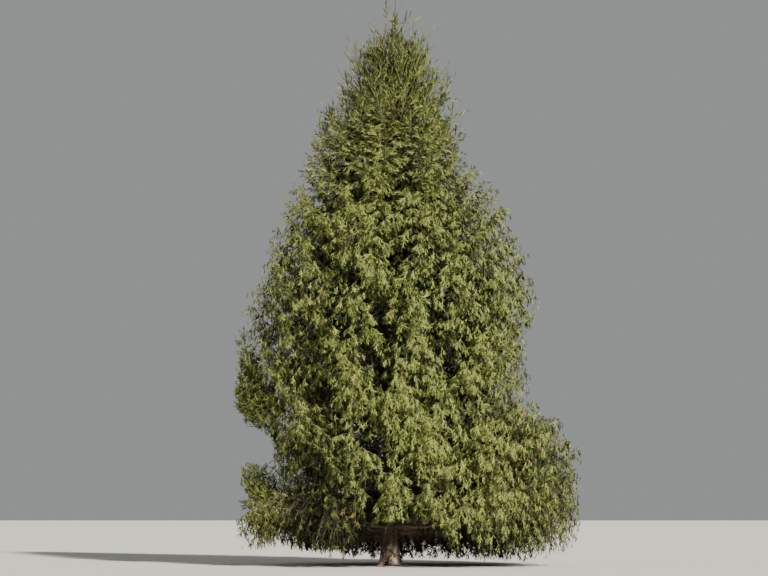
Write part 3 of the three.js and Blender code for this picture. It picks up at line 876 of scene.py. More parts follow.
@dataclass
class Limbs:
    """The main limbs of the solids, and finer ones in whorls between them."""

    rule: GrowthRule
    chance: Chance = field(default_factory=lambda: Chance(5))
    steps: int = 6
    rings: int = 18
    sides: int = 8
    fine_rings: int = 10
    fine_sides: int = 5
    stout_radius: float = 0.0285
    first_fine: float = 1.25
    last_fine: float = 14.6
    tip_tier_share: float = 0.6
    top_thinness: float = 0.6
    top_thin_levels: Span = (11.0, 14.0)
    top_body: float = 0.76
    top_body_levels: Span = (11.3, 12.1)
    top_bare_share: float = 0.15
    upward_share: float = 0.62
    tuft_room: float = 0.28
    back_limbs: int = 36
    back_half_angle: float = 1.5
    back_root: float = 0.7
    back_reach: Span = (0.98, 0.38)
    skirt_top: float = 1.9
    skirt_gap: float = 0.0125
    low_gap: float = 0.0335
    top_gap: float = 0.044
    top_whorl_gap: float = 0.55
    whorl_levels: Span = (12.8, 13.8)
    whorl_share: float = 0.8
    turn_slack: float = 0.125
    tip_rise: float = 0.38
    tip_rise_levels: Span = (11.0, 13.5)
    tip_fall_levels: Span = (13.3, 14.4)
    tip_rise_power: int = 5
    edge_slack: float = 1.05
    edge_room: float = 0.1
    fewest_points: int = 4
    ragged: float = 0.05
    fine_ragged: float = 0.07
    fine_bare: float = 0.18
    fine_bare_levels: Span = (8.0, 12.0)
    spread_limbs: int = 46
    spread_half_angle: float = 0.8
    spread_top: float = 3.7
    risers: int = 12
    riser_radius: float = 0.012
    riser_taper: float = 0.6
    riser_bare: float = 0.35
    riser_spread: float = 1.5
    riser_tops: Span = (0.25, 0.85)
    riser_base: float = 0.04
    riser_start: Span = (0.5, 0.58)
    riser_rooms: Span = (0.15, 0.08)
    riser_least_room: float = 0.1
    socket: float = 0.5
    latest_start: float = 0.5
    shortest_run: float = 0.3
    wave_seeds: int = 9973
    tier_seeds: int = 1000
    first_seed: int = 7
    turned_up_knots: int = 4
    top_start: float = 0.02
    wander: float = 0.07
    wander_turns: float = 9.0
    wander_lag: float = 1.7
    bough_radius: float = 0.046
    bough_end_radius: float = 0.03
    least_thinness: float = 0.3
    stem_share: float = 0.65
    tip_radius: float = 0.0035
    fine_radius: float = 0.009
    fine_radius_per_metre: float = 0.0045
    relief: float = 0.16
    turned_up_root: float = 0.1

    def crown_path(self, azimuth: float, reach: float, shape: tuple, own_reach: float) -> np.ndarray:
        """Draws a limb that stays in the even crown.

        Args:
            azimuth: The way it points.
            reach: How far it goes from the trunk's middle.
            shape: Its root height, slope and lift.
            own_reach: The reach that the slope and lift are given for.

        Returns:
            Points from its socket in the trunk to its tip.
        """
        root_height, slope, lift = shape
        start = self.socket * float(self.rule.trunk.wall(root_height, 0.0)) / reach
        share = np.linspace(min(start, self.latest_start), 1.0, self.rings)
        z = root_height + own_reach * (slope * share + lift * share**3)
        phase = FULL_TURN * first_draw(round(MM_PER_METRE * (root_height + azimuth)) % self.wave_seeds)
        wave = self.wander * np.sin(math.pi * share) * (reach / self.rule.crown.radius)
        z = z + wave * np.sin(self.wander_turns * share + phase)
        aside = wave * np.cos(self.wander_turns * share + self.wander_lag * phase)
        run = reach * share
        return self.rule.place(azimuth + aside / np.maximum(run, self.shortest_run), run, z)

    def main_limb(self, level: int, index: int) -> Limb:
        """Draws one of the solids' own limbs.

        Args:
            level: Its tier's number from the ground.
            index: Its number in the tier.

        Returns:
            The limb.
        """
        rule = self.rule
        tier = rule.tiers[level]
        azimuth = tier.azimuth(index)
        ragged = 1.0 - self.ragged * first_draw(self.tier_seeds * level + index + self.first_seed)
        own_reach = rule.settled_reach(tier.root_height, tier.slope, tier.lift, FRONT)
        tip = tier.root_height + own_reach * (tier.slope + tier.lift)
        reach = float(rule.edge(tip, azimuth, tier.root_height)) * ragged
        path = self.crown_path(azimuth, reach, (tier.root_height, tier.slope, tier.lift), own_reach)
        if level == len(rule.tiers) - 1:
            path = path[: round(self.tip_tier_share * len(path))]
        end = rule.turned_up.get(tier.name) if index == 0 else None
        if end is not None:
            foot = blend(end.base, end.top, self.turned_up_root)
            heights = np.array([foot, end.top - end.leader, end.top])
            turned_up = rule.place(azimuth, (end.inner(heights) + end.reach) / 2.0, heights)
            inside = path[: self.rings // 2 : self.turned_up_knots]
            path = smooth_path(np.array([*inside, *turned_up]), self.steps)
        root, mid = self.bough_radius, self.bough_end_radius
        if level >= BARE_TIERS:
            root = self.bough_end_radius * max(self.least_thinness, own_reach / rule.crown.radius)
            mid = root * self.stem_share
        return Limb(path, azimuth, tier.name, tier.root_height, tier.bare_share, root, mid, end)

    def fine_limb(self, root_height: float, azimuth: float, ragged: float) -> Limb | None:
        """Draws a limb between the solids' own.

        Args:
            root_height: Where it leaves the trunk.
            azimuth: The way it points.
            ragged: The share of the crown's reach that it has.

        Returns:
            The limb, or None where it would be too short.
        """
        rule = self.rule
        slope, lift, bare = rule.shape_at(root_height)
        reach = rule.settled_reach(root_height, slope, lift, azimuth) * ragged
        reach *= blend(1.0, self.top_body, share_between(root_height, *self.top_body_levels))
        path = self.crown_path(azimuth, reach, (root_height, slope, lift), reach)
        rise = self.tip_rise * share_between(root_height, *self.tip_rise_levels)
        rise *= 1.0 - share_between(root_height, *self.tip_fall_levels)
        path[:, 2] += rise * np.linspace(0.0, 1.0, len(path)) ** self.tip_rise_power
        around, distance = rule.polar(path)
        edge = rule.edge(path[:, 2], around, root_height)
        blocked = distance > edge * self.edge_slack + self.edge_room
        for end in rule.turned_up.values():
            blocked |= end.holds(around, distance, path[:, 2], end.gap)
        if blocked.any():
            path = path[: int(np.argmax(blocked))]
        if len(path) < self.fewest_points:
            return None
        root = self.root_radius(root_height, reach)
        bare = blend(bare, 1.0, self.fine_bare * (1.0 - share_between(root_height, *self.fine_bare_levels)))
        tier, mid = rule.tier_at(root_height), root * self.stem_share
        return Limb(path, azimuth, tier, root_height, bare, root, mid)

    def root_radius(self, root_height: float, reach: float) -> float:
        """Gives the radius of a fine limb at the trunk, by its root height and its reach."""
        thinness = blend(1.0, self.top_thinness, float(share_between(root_height, *self.top_thin_levels)))
        return (self.fine_radius + self.fine_radius_per_metre * reach) * thinness

    def top_limb(self, given: TopLimb) -> Limb:
        """Draws one of the steep limbs of the top, which ends upright.

        Args:
            given: Its place and size.

        Returns:
            The limb.
        """
        share = np.linspace(self.top_start, 1.0, self.rings)
        rise = blend(share, share**2, self.upward_share)
        z = given.root_height + (given.tip_height - self.tuft_room - given.root_height) * rise
        path = self.rule.place(given.azimuth, given.reach * np.sin(math.pi / 2.0 * share), z)
        root = self.root_radius(given.root_height, given.reach)
        tier, mid = self.rule.tier_at(given.root_height), root * self.stem_share
        bare = self.top_bare_share
        return Limb(path, given.azimuth, tier, given.root_height, bare, root, mid, free=True)

    def side_risers(self, limb: Limb) -> list[Limb]:
        """Draws the stems that fill a turned-up end beside its main one.

        Args:
            limb: The main limb.

        Returns:
            The stems.
        """
        end = limb.own_space
        inner_room, outer_room = self.riser_rooms
        radius = self.riser_radius
        made = []
        for number in range(self.risers):
            turn = self.riser_spread * ((number + 0.5) / self.risers - 0.5)
            azimuth = end.azimuth + end.half_angle * turn
            out = self.chance(0.0, 1.0)
            tall = self.chance(*self.riser_tops)
            heights = blend(end.base, end.top, np.array([self.riser_base, 0.5 * tall, tall]))
            inner = np.minimum(end.inner(heights) + inner_room, end.reach - self.riser_least_room)
            distance = blend(inner, end.reach - outer_room, out)
            start, _ = limb.at(np.array(self.riser_start))
            path = smooth_path(np.array([*start, *self.rule.place(azimuth, distance, heights)]), self.steps)
            sizes = (self.riser_bare, radius, self.riser_taper * radius)
            made.append(Limb(path, azimuth, limb.tier, limb.root_height, *sizes, end))
        return made

    def spiral_places(self) -> list[tuple]:
        """Returns the root height, azimuth and share of reach of the fine limbs all up the trunk."""
        places = []
        height = self.first_fine
        while height < self.last_fine:
            azimuth = GOLDEN_TURN * (len(places) + 1) + self.chance(-self.turn_slack, self.turn_slack)
            whorl = self.top_whorl_gap * round(height / self.top_whorl_gap)
            root = blend(height, whorl, self.whorl_share * share_between(height, *self.whorl_levels))
            places.append((root, azimuth, self.chance(1.0, 1.0 - self.fine_ragged)))
            up = share_between(height, self.skirt_top, self.last_fine)
            height += self.skirt_gap if height < self.skirt_top else blend(self.low_gap, self.top_gap, up)
        return places

    def back_places(self) -> list[tuple]:
        """Returns the root height, azimuth and share of reach of the low limbs that close the back."""
        places = []
        for number in range(self.back_limbs):
            turn = 2.0 * (number + self.chance(0.0, 1.0)) / self.back_limbs - 1.0
            root = self.chance(self.back_root, self.first_fine)
            places.append((root, -FRONT + self.back_half_angle * turn, self.chance(*self.back_reach)))
        return places

    def right_places(self) -> list[tuple]:
        """Returns the root height, azimuth and share of reach of the limbs that fill the right spread."""
        places = []
        for number in range(self.spread_limbs):
            turn = self.chance(-self.spread_half_angle, self.spread_half_angle)
            up = (number + self.chance(0.0, 1.0)) / self.spread_limbs
            root = blend(self.first_fine, self.spread_top, up)
            azimuth = self.rule.crown.right_azimuth + turn
            places.append((root, azimuth, self.chance(1.0, 1.0 - self.fine_ragged)))
        return places

    def fine_limbs(self, places: list[tuple]) -> list[Limb]:
        """Returns the fine limbs of the places where there is room."""
        return [limb for place in places if (limb := self.fine_limb(*place)) is not None]

    def grow(self) -> list[Limb]:
        """Returns every limb, the solids' own first."""
        tiers = self.rule.tiers
        limbs = [self.main_limb(level, i) for level, tier in enumerate(tiers) for i in range(tier.limbs)]
        for limb in [limb for limb in limbs if limb.own_space is not None]:
            limbs += self.side_risers(limb)
        limbs += self.fine_limbs(self.spiral_places())
        limbs += [self.top_limb(given) for given in top_limbs()]
        return limbs + self.fine_limbs(self.back_places() + self.right_places())

    def body(self, limb: Limb, salt: float) -> tuple[np.ndarray, list[list[int]]]:
        """Makes the points and faces of one limb.

        Args:
            limb: The limb.
            salt: Its own number, which sets its unevenness.

        Returns:
            The points, and the faces by the points' numbers.
        """
        stout = limb.root_radius > self.stout_radius
        rings, sides = (self.rings, self.sides) if stout else (self.fine_rings, self.fine_sides)
        share = np.linspace(0.0, 1.0, rings)
        middle, heading = limb.at(share)
        across, over = limb.frame(heading)
        row, column = np.meshgrid(np.arange(rings), np.arange(sides), indexing="ij")
        uneven = 1.0 + self.relief * (scattered(column, row, salt) - 0.5)
        radius = limb.radius(share, self.tip_radius)[:, None] * uneven
        ring = round_stem(np.arange(sides) * FULL_TURN / sides, across[:, None], over[:, None])
        wall = middle[:, None] + radius[..., None] * ring
        return np.concatenate([wall.reshape(-1, 3), middle[:1], middle[-1:]]), tube_faces(rings, sides)

    def make(self, limbs: list[Limb], bark: bpy.types.Material) -> None:
        """Builds the limbs as one mesh and dresses them.

        Args:
            limbs: The limbs.
            bark: Their material.
        """
        points, faces, count = [], [], 0
        for number, limb in enumerate(limbs):
            own_points, own_faces = self.body(limb, float(number))
            points.append(own_points)
            faces += [[count + corner for corner in face] for face in own_faces]
            count += len(own_points)
        piece = new_object("limb_bark", np.concatenate(points), faces=faces)
        bare = self.rule.tiers[:BARE_TIERS]
        boughs = [f"bough_{tier.name}_{i + 1}" for tier in bare for i in range(tier.limbs)]
        finish_piece(piece, boughs, bark)


class Sprays(NamedTuple):
    """Sprays, by columns with one row for each."""

    places: np.ndarray
    headings: np.ndarray
    faces: np.ndarray
    lengths: np.ndarray
    widths: np.ndarray
    tones: np.ndarray
    slender: np.ndarray


@dataclass
class Growth:
    """The twigs and sprays that have grown in one tier."""

    twigs: list[np.ndarray] = field(default_factory=list)
    twig_radii: list[np.ndarray] = field(default_factory=list)
    sprays: list[Sprays] = field(default_factory=list)

    def all_sprays(self) -> Sprays:
        """Returns the tier's sprays in one set of columns."""
        return Sprays(*[np.concatenate(column) for column in zip(*self.sprays)])

    def add_twigs(
        self, root: np.ndarray, out: np.ndarray, reach: np.ndarray, sag: float, radius: float
    ) -> None:
        """Adds bare twigs.

        Args:
            root: Their roots.
            out: The ways they point.
            reach: Their lengths.
            sag: How far their tips sag, as a share of their length.
            radius: Their radius at the root.
        """
        points, taper = 3, 0.7
        t = np.linspace(0.0, 1.0, points)[None, :, None]
        self.twigs.append(root[:, None] + reach[:, None, None] * (out[:, None] * t - sag * UP * t**2))
        self.twig_radii.append(radius * (1.0 - taper * t[..., 0]) * np.ones((len(root), 1)))


@dataclass
class Branchlets:
    """The branchlets of one limb, as bent lines."""

    share: np.ndarray
    root: np.ndarray
    heading: np.ndarray
    out: np.ndarray
    hang: np.ndarray
    drop: np.ndarray
    reach: np.ndarray
    forward: float = 0.15

    def at(self, which: np.ndarray, t: np.ndarray) -> np.ndarray:
        """Gives points on branchlets, by the branchlets' numbers and shares of their length."""
        bend = (self.forward * self.heading[which] - UP * self.drop[which][..., None]) * (t**2)[..., None]
        return self.root[which] + self.reach[which][..., None] * (self.out[which] * t[..., None] + bend)

    def tips(self) -> np.ndarray:
        """Returns their tips."""
        return self.at(np.arange(len(self.root)), np.ones(len(self.root)))


@dataclass
class Foliage:
    """Branchlets along the limbs, and the sprays that hang from both."""

    rule: GrowthRule
    chance: Chance = field(default_factory=lambda: Chance(23))
    branchlet_gap: float = 0.148
    end_crowding: float = 1.4
    outward_crowding: float = 0.82
    branchlet_shortest: float = 0.4
    branchlet_widening: float = 0.32
    branchlet_longest: float = 0.8
    branchlet_reaches: Span = (0.7, 1.2)
    branchlet_trims: int = 4
    branchlet_trim: float = 0.7
    curtain_below: float = 1.95
    curtain_share: float = 0.8
    curtain_slope: float = 0.9
    curtain_reaches: Span = (0.75, 1.0)
    branchlet_radius: float = 0.0035
    branchlet_radius_per_metre: float = 0.0045
    branchlet_taper: float = 0.75
    branchlet_points: int = 3
    splay_at_root: float = 1.15
    splay_at_tip: float = 0.7
    hanging_branchlets: float = 0.34
    hanging_spread: float = 1.1
    side_spread: float = 0.4
    upright_slopes: Span = (0.75, 0.92)
    upright_stiffness: float = 0.8
    inner_growth: float = 0.6
    inner_shares: Span = (0.4, 0.82)
    droop: float = 0.7
    droops: Span = (0.6, 1.4)
    hanging_drop: float = 0.3
    rise: float = 0.3
    hang_full_below: float = 8.5
    hang_none_above: float = 14.8
    face_outward: float = 0.7
    face_up: float = 0.5
    face_stray: Span = (-0.55, 0.55)
    hanging_down: Span = (0.75, 1.75)
    standing_up: float = 0.45
    heading_stray: Span = (-0.3, 0.3)
    stray_shares: Span = (0.4, 1.0)
    lean_shares: Span = (0.38, 0.6)
    along_shares: Span = (0.8, 0.55)
    spray_gap: float = 0.092
    spray_places: Span = (0.35, 0.95)
    step_back: float = 0.05
    limb_spray_gap: float = 0.105
    spray_length: float = 0.265
    spray_sizes: Span = (0.72, 1.22)
    spray_end: float = 0.93
    spray_end_turn: float = 0.7
    tip_shortening: float = 0.2
    stem_spray_sizes: Span = (0.6, 1.0)
    stem_hang: float = 0.55
    stem_end: float = 0.96
    stem_end_turn: float = 0.75
    stem_end_lift: float = 0.6
    stem_flatness: float = 0.5
    stem_outer: float = 0.5
    fewest_stem_sprays: int = 4
    spray_trims: int = 3
    spray_trim: float = 0.75
    depth_light: float = 0.5
    light_depths: Span = (0.58, 0.9)
    outer_light: float = 0.12
    base_light: Span = (-0.01, 0.57)
    ground_shade: float = 0.25
    ground_levels: Span = (0.5, 1.7)
    turned_up_depth: float = 0.85
    tone_limits: tuple[float, ...] = (0.86, 0.62, 0.4, 0.2)
    dry_share: float = 0.012
    self_shaded_share: float = 0.28
    self_shading: float = 0.56
    self_lighting: float = 0.27
    top_spray_share: float = 0.8
    top_narrowing: float = 0.6
    tufts_from: float = 10.5
    tuft_length: float = 0.4
    tuft_lengths: Span = (0.75, 1.25)
    tuft_levels: Span = (14.0, 15.2)
    tuft_lean: float = 0.45
    tuft_places: tuple[float, float, float] = (1.0, 0.97, 0.95)
    tuft_stray: Span = (-0.3, 0.3)
    tuft_tones: tuple[int, int] = (1, 4)
    top_tuft_share: float = 0.65
    tuft_narrowing: float = 0.42
    slender_from: float = 13.0
    open_from: float = 14.7
    open_full: float = 15.5
    top_thinning: float = 0.45
    top_depth: float = 0.72
    top_depth_levels: Span = (12.5, 13.5)
    narrow_from: float = 14.0
    outline_slack: float = 0.02
    middle_slack: float = 0.05
    middle_levels: Span = (4.5, 6.5)
    top_slack: float = 0.12
    top_levels: Span = (12.0, 15.0)
    dead_twig_gap: float = 0.12
    dead_twig_lengths: Span = (0.165, 0.715)
    dead_twigs_below: float = 6.0
    dead_twig_places: Span = (0.15, 1.1)
    dead_twig_spread: Span = (0.0, 0.8)
    dead_twig_forward: float = 0.4
    dead_twig_down: float = 0.7
    dead_twig_room: float = 0.8
    dead_twig_air: float = 0.1
    dead_twig_sag: float = 0.35
    dead_twig_radius: float = 0.0035
    trunk_twigs: int = 80
    trunk_twig_levels: Span = (0.45, 2.0)
    trunk_twig_lengths: Span = (0.18, 0.585)
    trunk_twig_crowding: float = 0.7
    trunk_twig_depth: float = 0.85
    trunk_twig_stray: Span = (-0.35, 0.35)
    trunk_twig_down: float = 0.1
    trunk_twig_room: float = 0.75
    trunk_twig_sag: float = 0.7
    trunk_twig_radius: float = 0.005
    inner_spray_gap: float = 0.2
    inner_spray_length: float = 0.46
    inner_sprays_above: float = 1.5
    inner_places: Span = (0.1, 1.2)
    inner_forward: float = 0.3
    inner_down: Span = (0.2, 0.9)
    inner_sizes: Span = (0.7, 1.2)
    deep_levels: Span = (4.4, 11.6)
    deep_share: float = 0.5
    deep_spray_gap: float = 0.15
    deep_shade: float = 2.6
    leader_shoots: tuple[int, int] = (64, 26)
    leader_levels: tuple[float, float, float] = (2.0, 0.78, 0.1)
    leader_leans: Span = (0.1, 0.9)
    leader_lean_depths: Span = (0.6, 0.9)
    leader_lengths: Span = (0.09, 0.12)
    leader_growth: float = 0.14
    leader_growth_depths: Span = (0.7, 1.0)
    leader_room: float = 0.95
    leader_over: float = 0.02
    leader_face_shift: float = 0.01
    leader_tones: tuple[int, int] = (0, 3)

    def hang(self, z: Any) -> Any:
        """Gives how far sprays hang, from fully in the low crown to not at all near the top."""
        return 1.0 - share_between(z, self.hang_full_below, self.hang_none_above)

    def slack_at(self, z: Any) -> Any:
        """Gives how far over the crown's outline growth may stand, as a share of its reach."""
        middle = blend(self.outline_slack, self.middle_slack, share_between(z, *self.middle_levels))
        return blend(middle, self.top_slack, share_between(z, *self.top_levels))

    def sizes_at(self, z: np.ndarray, sizes: Span) -> np.ndarray:
        """Draws the sizes of sprays between two limits, against those in the low crown."""
        top = share_between(z, self.hang_full_below, self.rule.trunk.height)
        return blend(1.0, self.top_spray_share, top) * self.chance(*sizes, len(z))

    def tones(self, tips: np.ndarray, limb: Limb, outer: np.ndarray) -> np.ndarray:
        """Deals a needle tone to each spray, its painted light and shade set by its depth in the crown.

        Args:
            tips: The sprays' tips.
            limb: The limb they grow on.
            outer: How far out on its branchlet each one is, which paints it lighter; below zero it paints
                shade.

        Returns:
            The tones' numbers.
        """
        count, z = len(tips), tips[:, 2]
        azimuth, distance = self.rule.polar(tips)
        depth = distance / np.maximum(self.rule.edge(z, azimuth, limb.root_height), TINY)
        depth = depth / blend(1.0, self.top_depth, share_between(z, *self.top_depth_levels))
        if limb.own_space is not None:
            depth = np.maximum(depth, self.turned_up_depth)
        # Painted light: sprays near the crown's outline and far out on their branchlets get lighter tones,
        # deep ones darker.
        light = self.depth_light * share_between(depth, *self.light_depths) + self.outer_light * outer
        light += self.chance(*self.base_light, count)
        # Painted shade near the ground.
        light -= self.ground_shade * (1.0 - share_between(z, *self.ground_levels))
        # Painted shade on a share of sprays at random, standing in for tufts in their own shadow; the rest
        # are painted a little lighter.
        shaded = self.chance(0.0, 1.0, count) < self.self_shaded_share
        light += self.self_shading * (self.self_lighting - shaded)
        dry_share = np.full(count, self.dry_share)
        # Painted light and shade of the crown's patches, and their share of dry needles.
        for patch in self.rule.crown.patches:
            inside = patch.at(azimuth, z)
            light += patch.light * inside
            dry_share += patch.dry * inside
        tone = np.digitize(-light, -np.array(self.tone_limits))
        return np.where(self.chance(0.0, 1.0, count) < dry_share, len(NeedleTone) - 1, tone)

    def add_sprays(
        self,
        growth: Growth,
        limb: Limb,
        places: np.ndarray,
        headings: np.ndarray,
        lengths: np.ndarray,
        outer: np.ndarray,
    ) -> None:
        """Adds the sprays that have room.

        Args:
            growth: What they are added to.
            limb: The limb that carries them.
            places: Their roots.
            headings: The ways they point.
            lengths: Their lengths.
            outer: How far out on its branchlet each one is, which paints it lighter; below zero it paints
                shade.
        """
        slack = self.slack_at(places[:, 2])
        for _ in range(self.spray_trims):
            fits = self.rule.allows(places + headings * lengths[:, None], limb, slack)
            lengths = np.where(fits, lengths, self.spray_trim * lengths)
        fits = self.rule.allows(places + headings * lengths[:, None], limb, slack)
        open_share = self.top_thinning * share_between(places[:, 2], self.open_from, self.open_full)
        fits &= self.chance(0.0, 1.0, len(places)) >= open_share
        places, headings, lengths, outer = (rows[fits] for rows in (places, headings, lengths, outer))
        if not len(places):
            return
        azimuth, _ = self.rule.polar(places)
        faces = self.face_outward * outward(azimuth) + self.face_up * UP
        faces += self.chance(*self.face_stray, places.shape)
        z = places[:, 2]
        narrow = blend(1.0, self.top_narrowing, share_between(z, self.hang_full_below, self.narrow_from))
        slender = self.chance(0.0, 1.0, len(z)) < share_between(z, self.slender_from, self.open_from)
        widths = lengths * np.where(slender, self.tuft_narrowing, narrow)
        tones = self.tones(places + headings * lengths[:, None], limb, outer)
        growth.sprays.append(Sprays(places, headings, unit(faces), lengths, widths, tones, slender))

    def spread_out(self, limb: Limb, count: int) -> np.ndarray:
        """Spreads growth along a limb's leafy part, closer towards its tip, as shares of its length."""
        even = (np.arange(count) + self.chance(0.0, 1.0, count)) / count
        return blend(limb.bare_share, 1.0, even**self.outward_crowding)

    def spray_headings(self, along: np.ndarray, side: np.ndarray, hang: np.ndarray) -> np.ndarray:
        """Points sprays along their stem, to its sides, and down where they hang.

        Args:
            along: The ways their stems go.
            side: To which side of the stem each one leans, as a vector.
            hang: How far each one hangs.

        Returns:
            The ways they point.
        """
        down = hang * self.chance(*self.hanging_down, len(along)) - (1.0 - hang) * self.standing_up
        stray = self.chance(*self.heading_stray, along.shape) * blend(*self.stray_shares, hang)[:, None]
        lean = side * blend(*self.lean_shares, hang)[:, None]
        ahead = along * blend(*self.along_shares, hang)[:, None]
        return unit(ahead + lean - UP * down[:, None] + stray)

    def lay_branchlets(self, limb: Limb) -> Branchlets:
        """Lays out a limb's branchlets: to its sides, hanging from it, or round it where it is upright.

        Args:
            limb: The limb.

        Returns:
            The branchlets.
        """
        length = limb.length()
        crowding = 1.0 if limb.own_space is None else self.end_crowding
        count = max(2, round(crowding * length * (1.0 - limb.bare_share) / self.branchlet_gap))
        share = self.spread_out(limb, count)
        root, heading = limb.at(share)
        upright = share_between(heading[:, 2], *self.upright_slopes)
        curtain = limb.root_height < self.curtain_below and limb.own_space is None
        hanging_share = self.curtain_share if curtain else self.hanging_branchlets
        hanging = self.chance(0.0, 1.0, count) < hanging_share * self.hang(root[:, 2])
        roll = math.pi * (np.arange(count) % 2) + self.chance(-self.side_spread, self.side_spread, count)
        below = FRONT + self.chance(-self.hanging_spread, self.hanging_spread, count)
        roll = np.where(hanging, below, roll)
        roll = np.where(upright > 0.5, GOLDEN_TURN * np.arange(count), roll)
        side = round_stem(roll, *limb.frame(heading))
        reach = self.branchlet_shortest + self.branchlet_widening * length * (1.0 - share)
        reach = np.minimum(reach, self.branchlet_longest) * self.chance(*self.branchlet_reaches, count)
        splay = blend(self.splay_at_root, self.splay_at_tip, share)[:, None]
        out = heading * np.cos(splay) + side * np.sin(splay)
        hang = self.hang(root[:, 2]) * (1.0 - self.upright_stiffness * upright)
        drop = hang * self.droop * self.chance(*self.droops, count) - (1.0 - hang) * self.rise
        drop = np.where(hanging, drop + self.hanging_drop, drop)
        if curtain:
            around, _ = self.rule.polar(root)
            room = (root[:, 2] - self.rule.crown.hem(around)) / (self.curtain_slope + drop)
            reach = np.where(hanging, room * self.chance(*self.curtain_reaches, count), reach)
        return Branchlets(share, root, heading, out, hang, drop, reach)

    def dress(self, limb: Limb, growth: Growth) -> None:
        """Grows one limb's branchlets and sprays.

        Args:
            limb: The limb.
            growth: What they are added to.
        """
        branchlets = self.lay_branchlets(limb)
        slack = self.slack_at(branchlets.root[:, 2])
        for _ in range(self.branchlet_trims):
            fits = self.rule.allows(branchlets.tips(), limb, slack)
            branchlets.reach = np.where(fits, branchlets.reach, self.branchlet_trim * branchlets.reach)
        numbers = np.flatnonzero(self.rule.allows(branchlets.tips(), limb, slack))
        if len(numbers):
            self.dress_branchlets(limb, branchlets, numbers, growth)
        self.dress_stem(limb, growth)
        if limb.own_space is None and not limb.free:
            self.add_inner_sprays(limb, growth, (0.0, limb.bare_share), self.inner_spray_gap, 0.0)
        if limb.root_height < self.dead_twigs_below and limb.own_space is None:
            self.add_dead_twigs(limb, growth)

    def dress_branchlets(self, limb: Limb, laid: Branchlets, numbers: np.ndarray, growth: Growth) -> None:
        """Grows the branchlets that have room, and the sprays along them.

        Args:
            limb: The limb.
            laid: Its branchlets.
            numbers: The numbers of those that have room.
            growth: What they are added to.
        """
        reach = laid.reach[numbers]
        t = np.linspace(0.0, 1.0, self.branchlet_points)
        which = np.repeat(numbers, len(t)).reshape(-1, len(t))
        growth.twigs.append(laid.at(which, np.broadcast_to(t, which.shape)))
        thick = self.branchlet_radius + self.branchlet_radius_per_metre * reach
        growth.twig_radii.append(thick[:, None] * (1.0 - self.branchlet_taper * t))
        copies = np.maximum(1, np.round(reach / self.spray_gap).astype(int))
        which = np.repeat(numbers, copies)
        order = np.arange(len(which)) - np.repeat(np.cumsum(copies) - copies, copies)
        steps = order + self.chance(*self.spray_places, len(which))
        t = np.minimum(steps / np.repeat(copies, copies), 1.0)
        place = laid.at(which, t)
        along = unit(place - laid.at(which, t - self.step_back))
        hand = np.where(order % 2 == 0, 1.0, -1.0) * (1.0 - self.spray_end_turn * (t > self.spray_end))
        headings = self.spray_headings(along, unit(np.cross(along, UP)) * hand[:, None], laid.hang[which])
        size = self.spray_length * self.sizes_at(place[:, 2], self.spray_sizes)
        size *= 1.0 - self.tip_shortening * t
        inner = 1.0 - share_between(laid.share[which], *self.inner_shares)
        self.add_sprays(growth, limb, place, headings, size * (1.0 + self.inner_growth * inner), t)

    def add_inner_sprays(self, limb: Limb, growth: Growth, part: Span, gap: float, shade: float) -> None:
        """Grows the old sprays on the part of a limb inside the crown, painted dark as shade.

        Args:
            limb: The limb.
            growth: What they are added to.
            part: The share of the limb where they start, and the share that they take up.
            gap: The space from one to the next.
            shade: How much more painted shade they get than their depth gives them.
        """
        start, inner = part
        count = max(2, round(limb.length() * inner / gap))
        place, heading = limb.at(start + inner * self.chance(*self.inner_places, count))
        high = place[:, 2] > self.inner_sprays_above
        place, heading, count = place[high], heading[high], int(high.sum())
        side = limb.frame(heading)[0] * self.chance(-1.0, 1.0, count)[:, None]
        down = self.chance(*self.inner_down, count)[:, None]
        headings = unit(self.inner_forward * heading + side - UP * down)
        size = self.inner_spray_length * self.sizes_at(place[:, 2], self.inner_sizes)
        # A shade above zero darkens their tones as painted shade.
        self.add_sprays(growth, limb, place, headings, size, np.full(count, -shade))

    def dress_stem(self, limb: Limb, growth: Growth) -> None:
        """Grows the sprays that stand on the limb itself.

        Args:
            limb: The limb.
            growth: What they are added to.
        """
        leafy = limb.length() * (1.0 - limb.bare_share)
        count = max(self.fewest_stem_sprays, round(leafy / self.limb_spray_gap))
        share = self.spread_out(limb, count)
        place, heading = limb.at(share)
        across, over = limb.frame(heading)
        side = round_stem(GOLDEN_TURN * np.arange(count), across, self.stem_flatness * over)
        side = side * (1.0 - self.stem_end_turn * (share > self.stem_end))[:, None]
        upright = share_between(heading[:, 2], *self.upright_slopes)
        hang = self.stem_hang * self.hang(place[:, 2]) * (1.0 - upright)
        size = self.spray_length * self.sizes_at(place[:, 2], self.stem_spray_sizes)
        headings = self.spray_headings(heading, side, hang * (1.0 - self.stem_end_lift * share))
        self.add_sprays(growth, limb, place, headings, size, blend(self.stem_outer, 1.0, share))
        if limb.root_height > self.tufts_from:
            self.add_tuft(limb, growth)

    def add_tuft(self, limb: Limb, growth: Growth) -> None:
        """Grows the upright tuft at a limb's tip.

        Args:
            limb: The limb.
            growth: What it is added to.
        """
        place, heading = limb.at(np.array(self.tuft_places))
        side = limb.frame(heading)[0] * np.array([[0.0], [self.tuft_lean], [-self.tuft_lean]])
        headings = unit(self.tuft_lean * heading + side + UP)
        shorter = blend(1.0, self.top_tuft_share, share_between(place[:, 2], *self.tuft_levels))
        lengths = self.tuft_length * shorter * self.chance(*self.tuft_lengths, len(place))
        azimuth, _ = self.rule.polar(place)
        faces = unit(outward(azimuth) + self.chance(*self.tuft_stray, place.shape))
        tones = self.chance.draw.integers(*self.tuft_tones, len(place))
        slender = np.ones(len(place), bool)
        widths = lengths * self.tuft_narrowing
        growth.sprays.append(Sprays(place, headings, faces, lengths, widths, tones, slender))

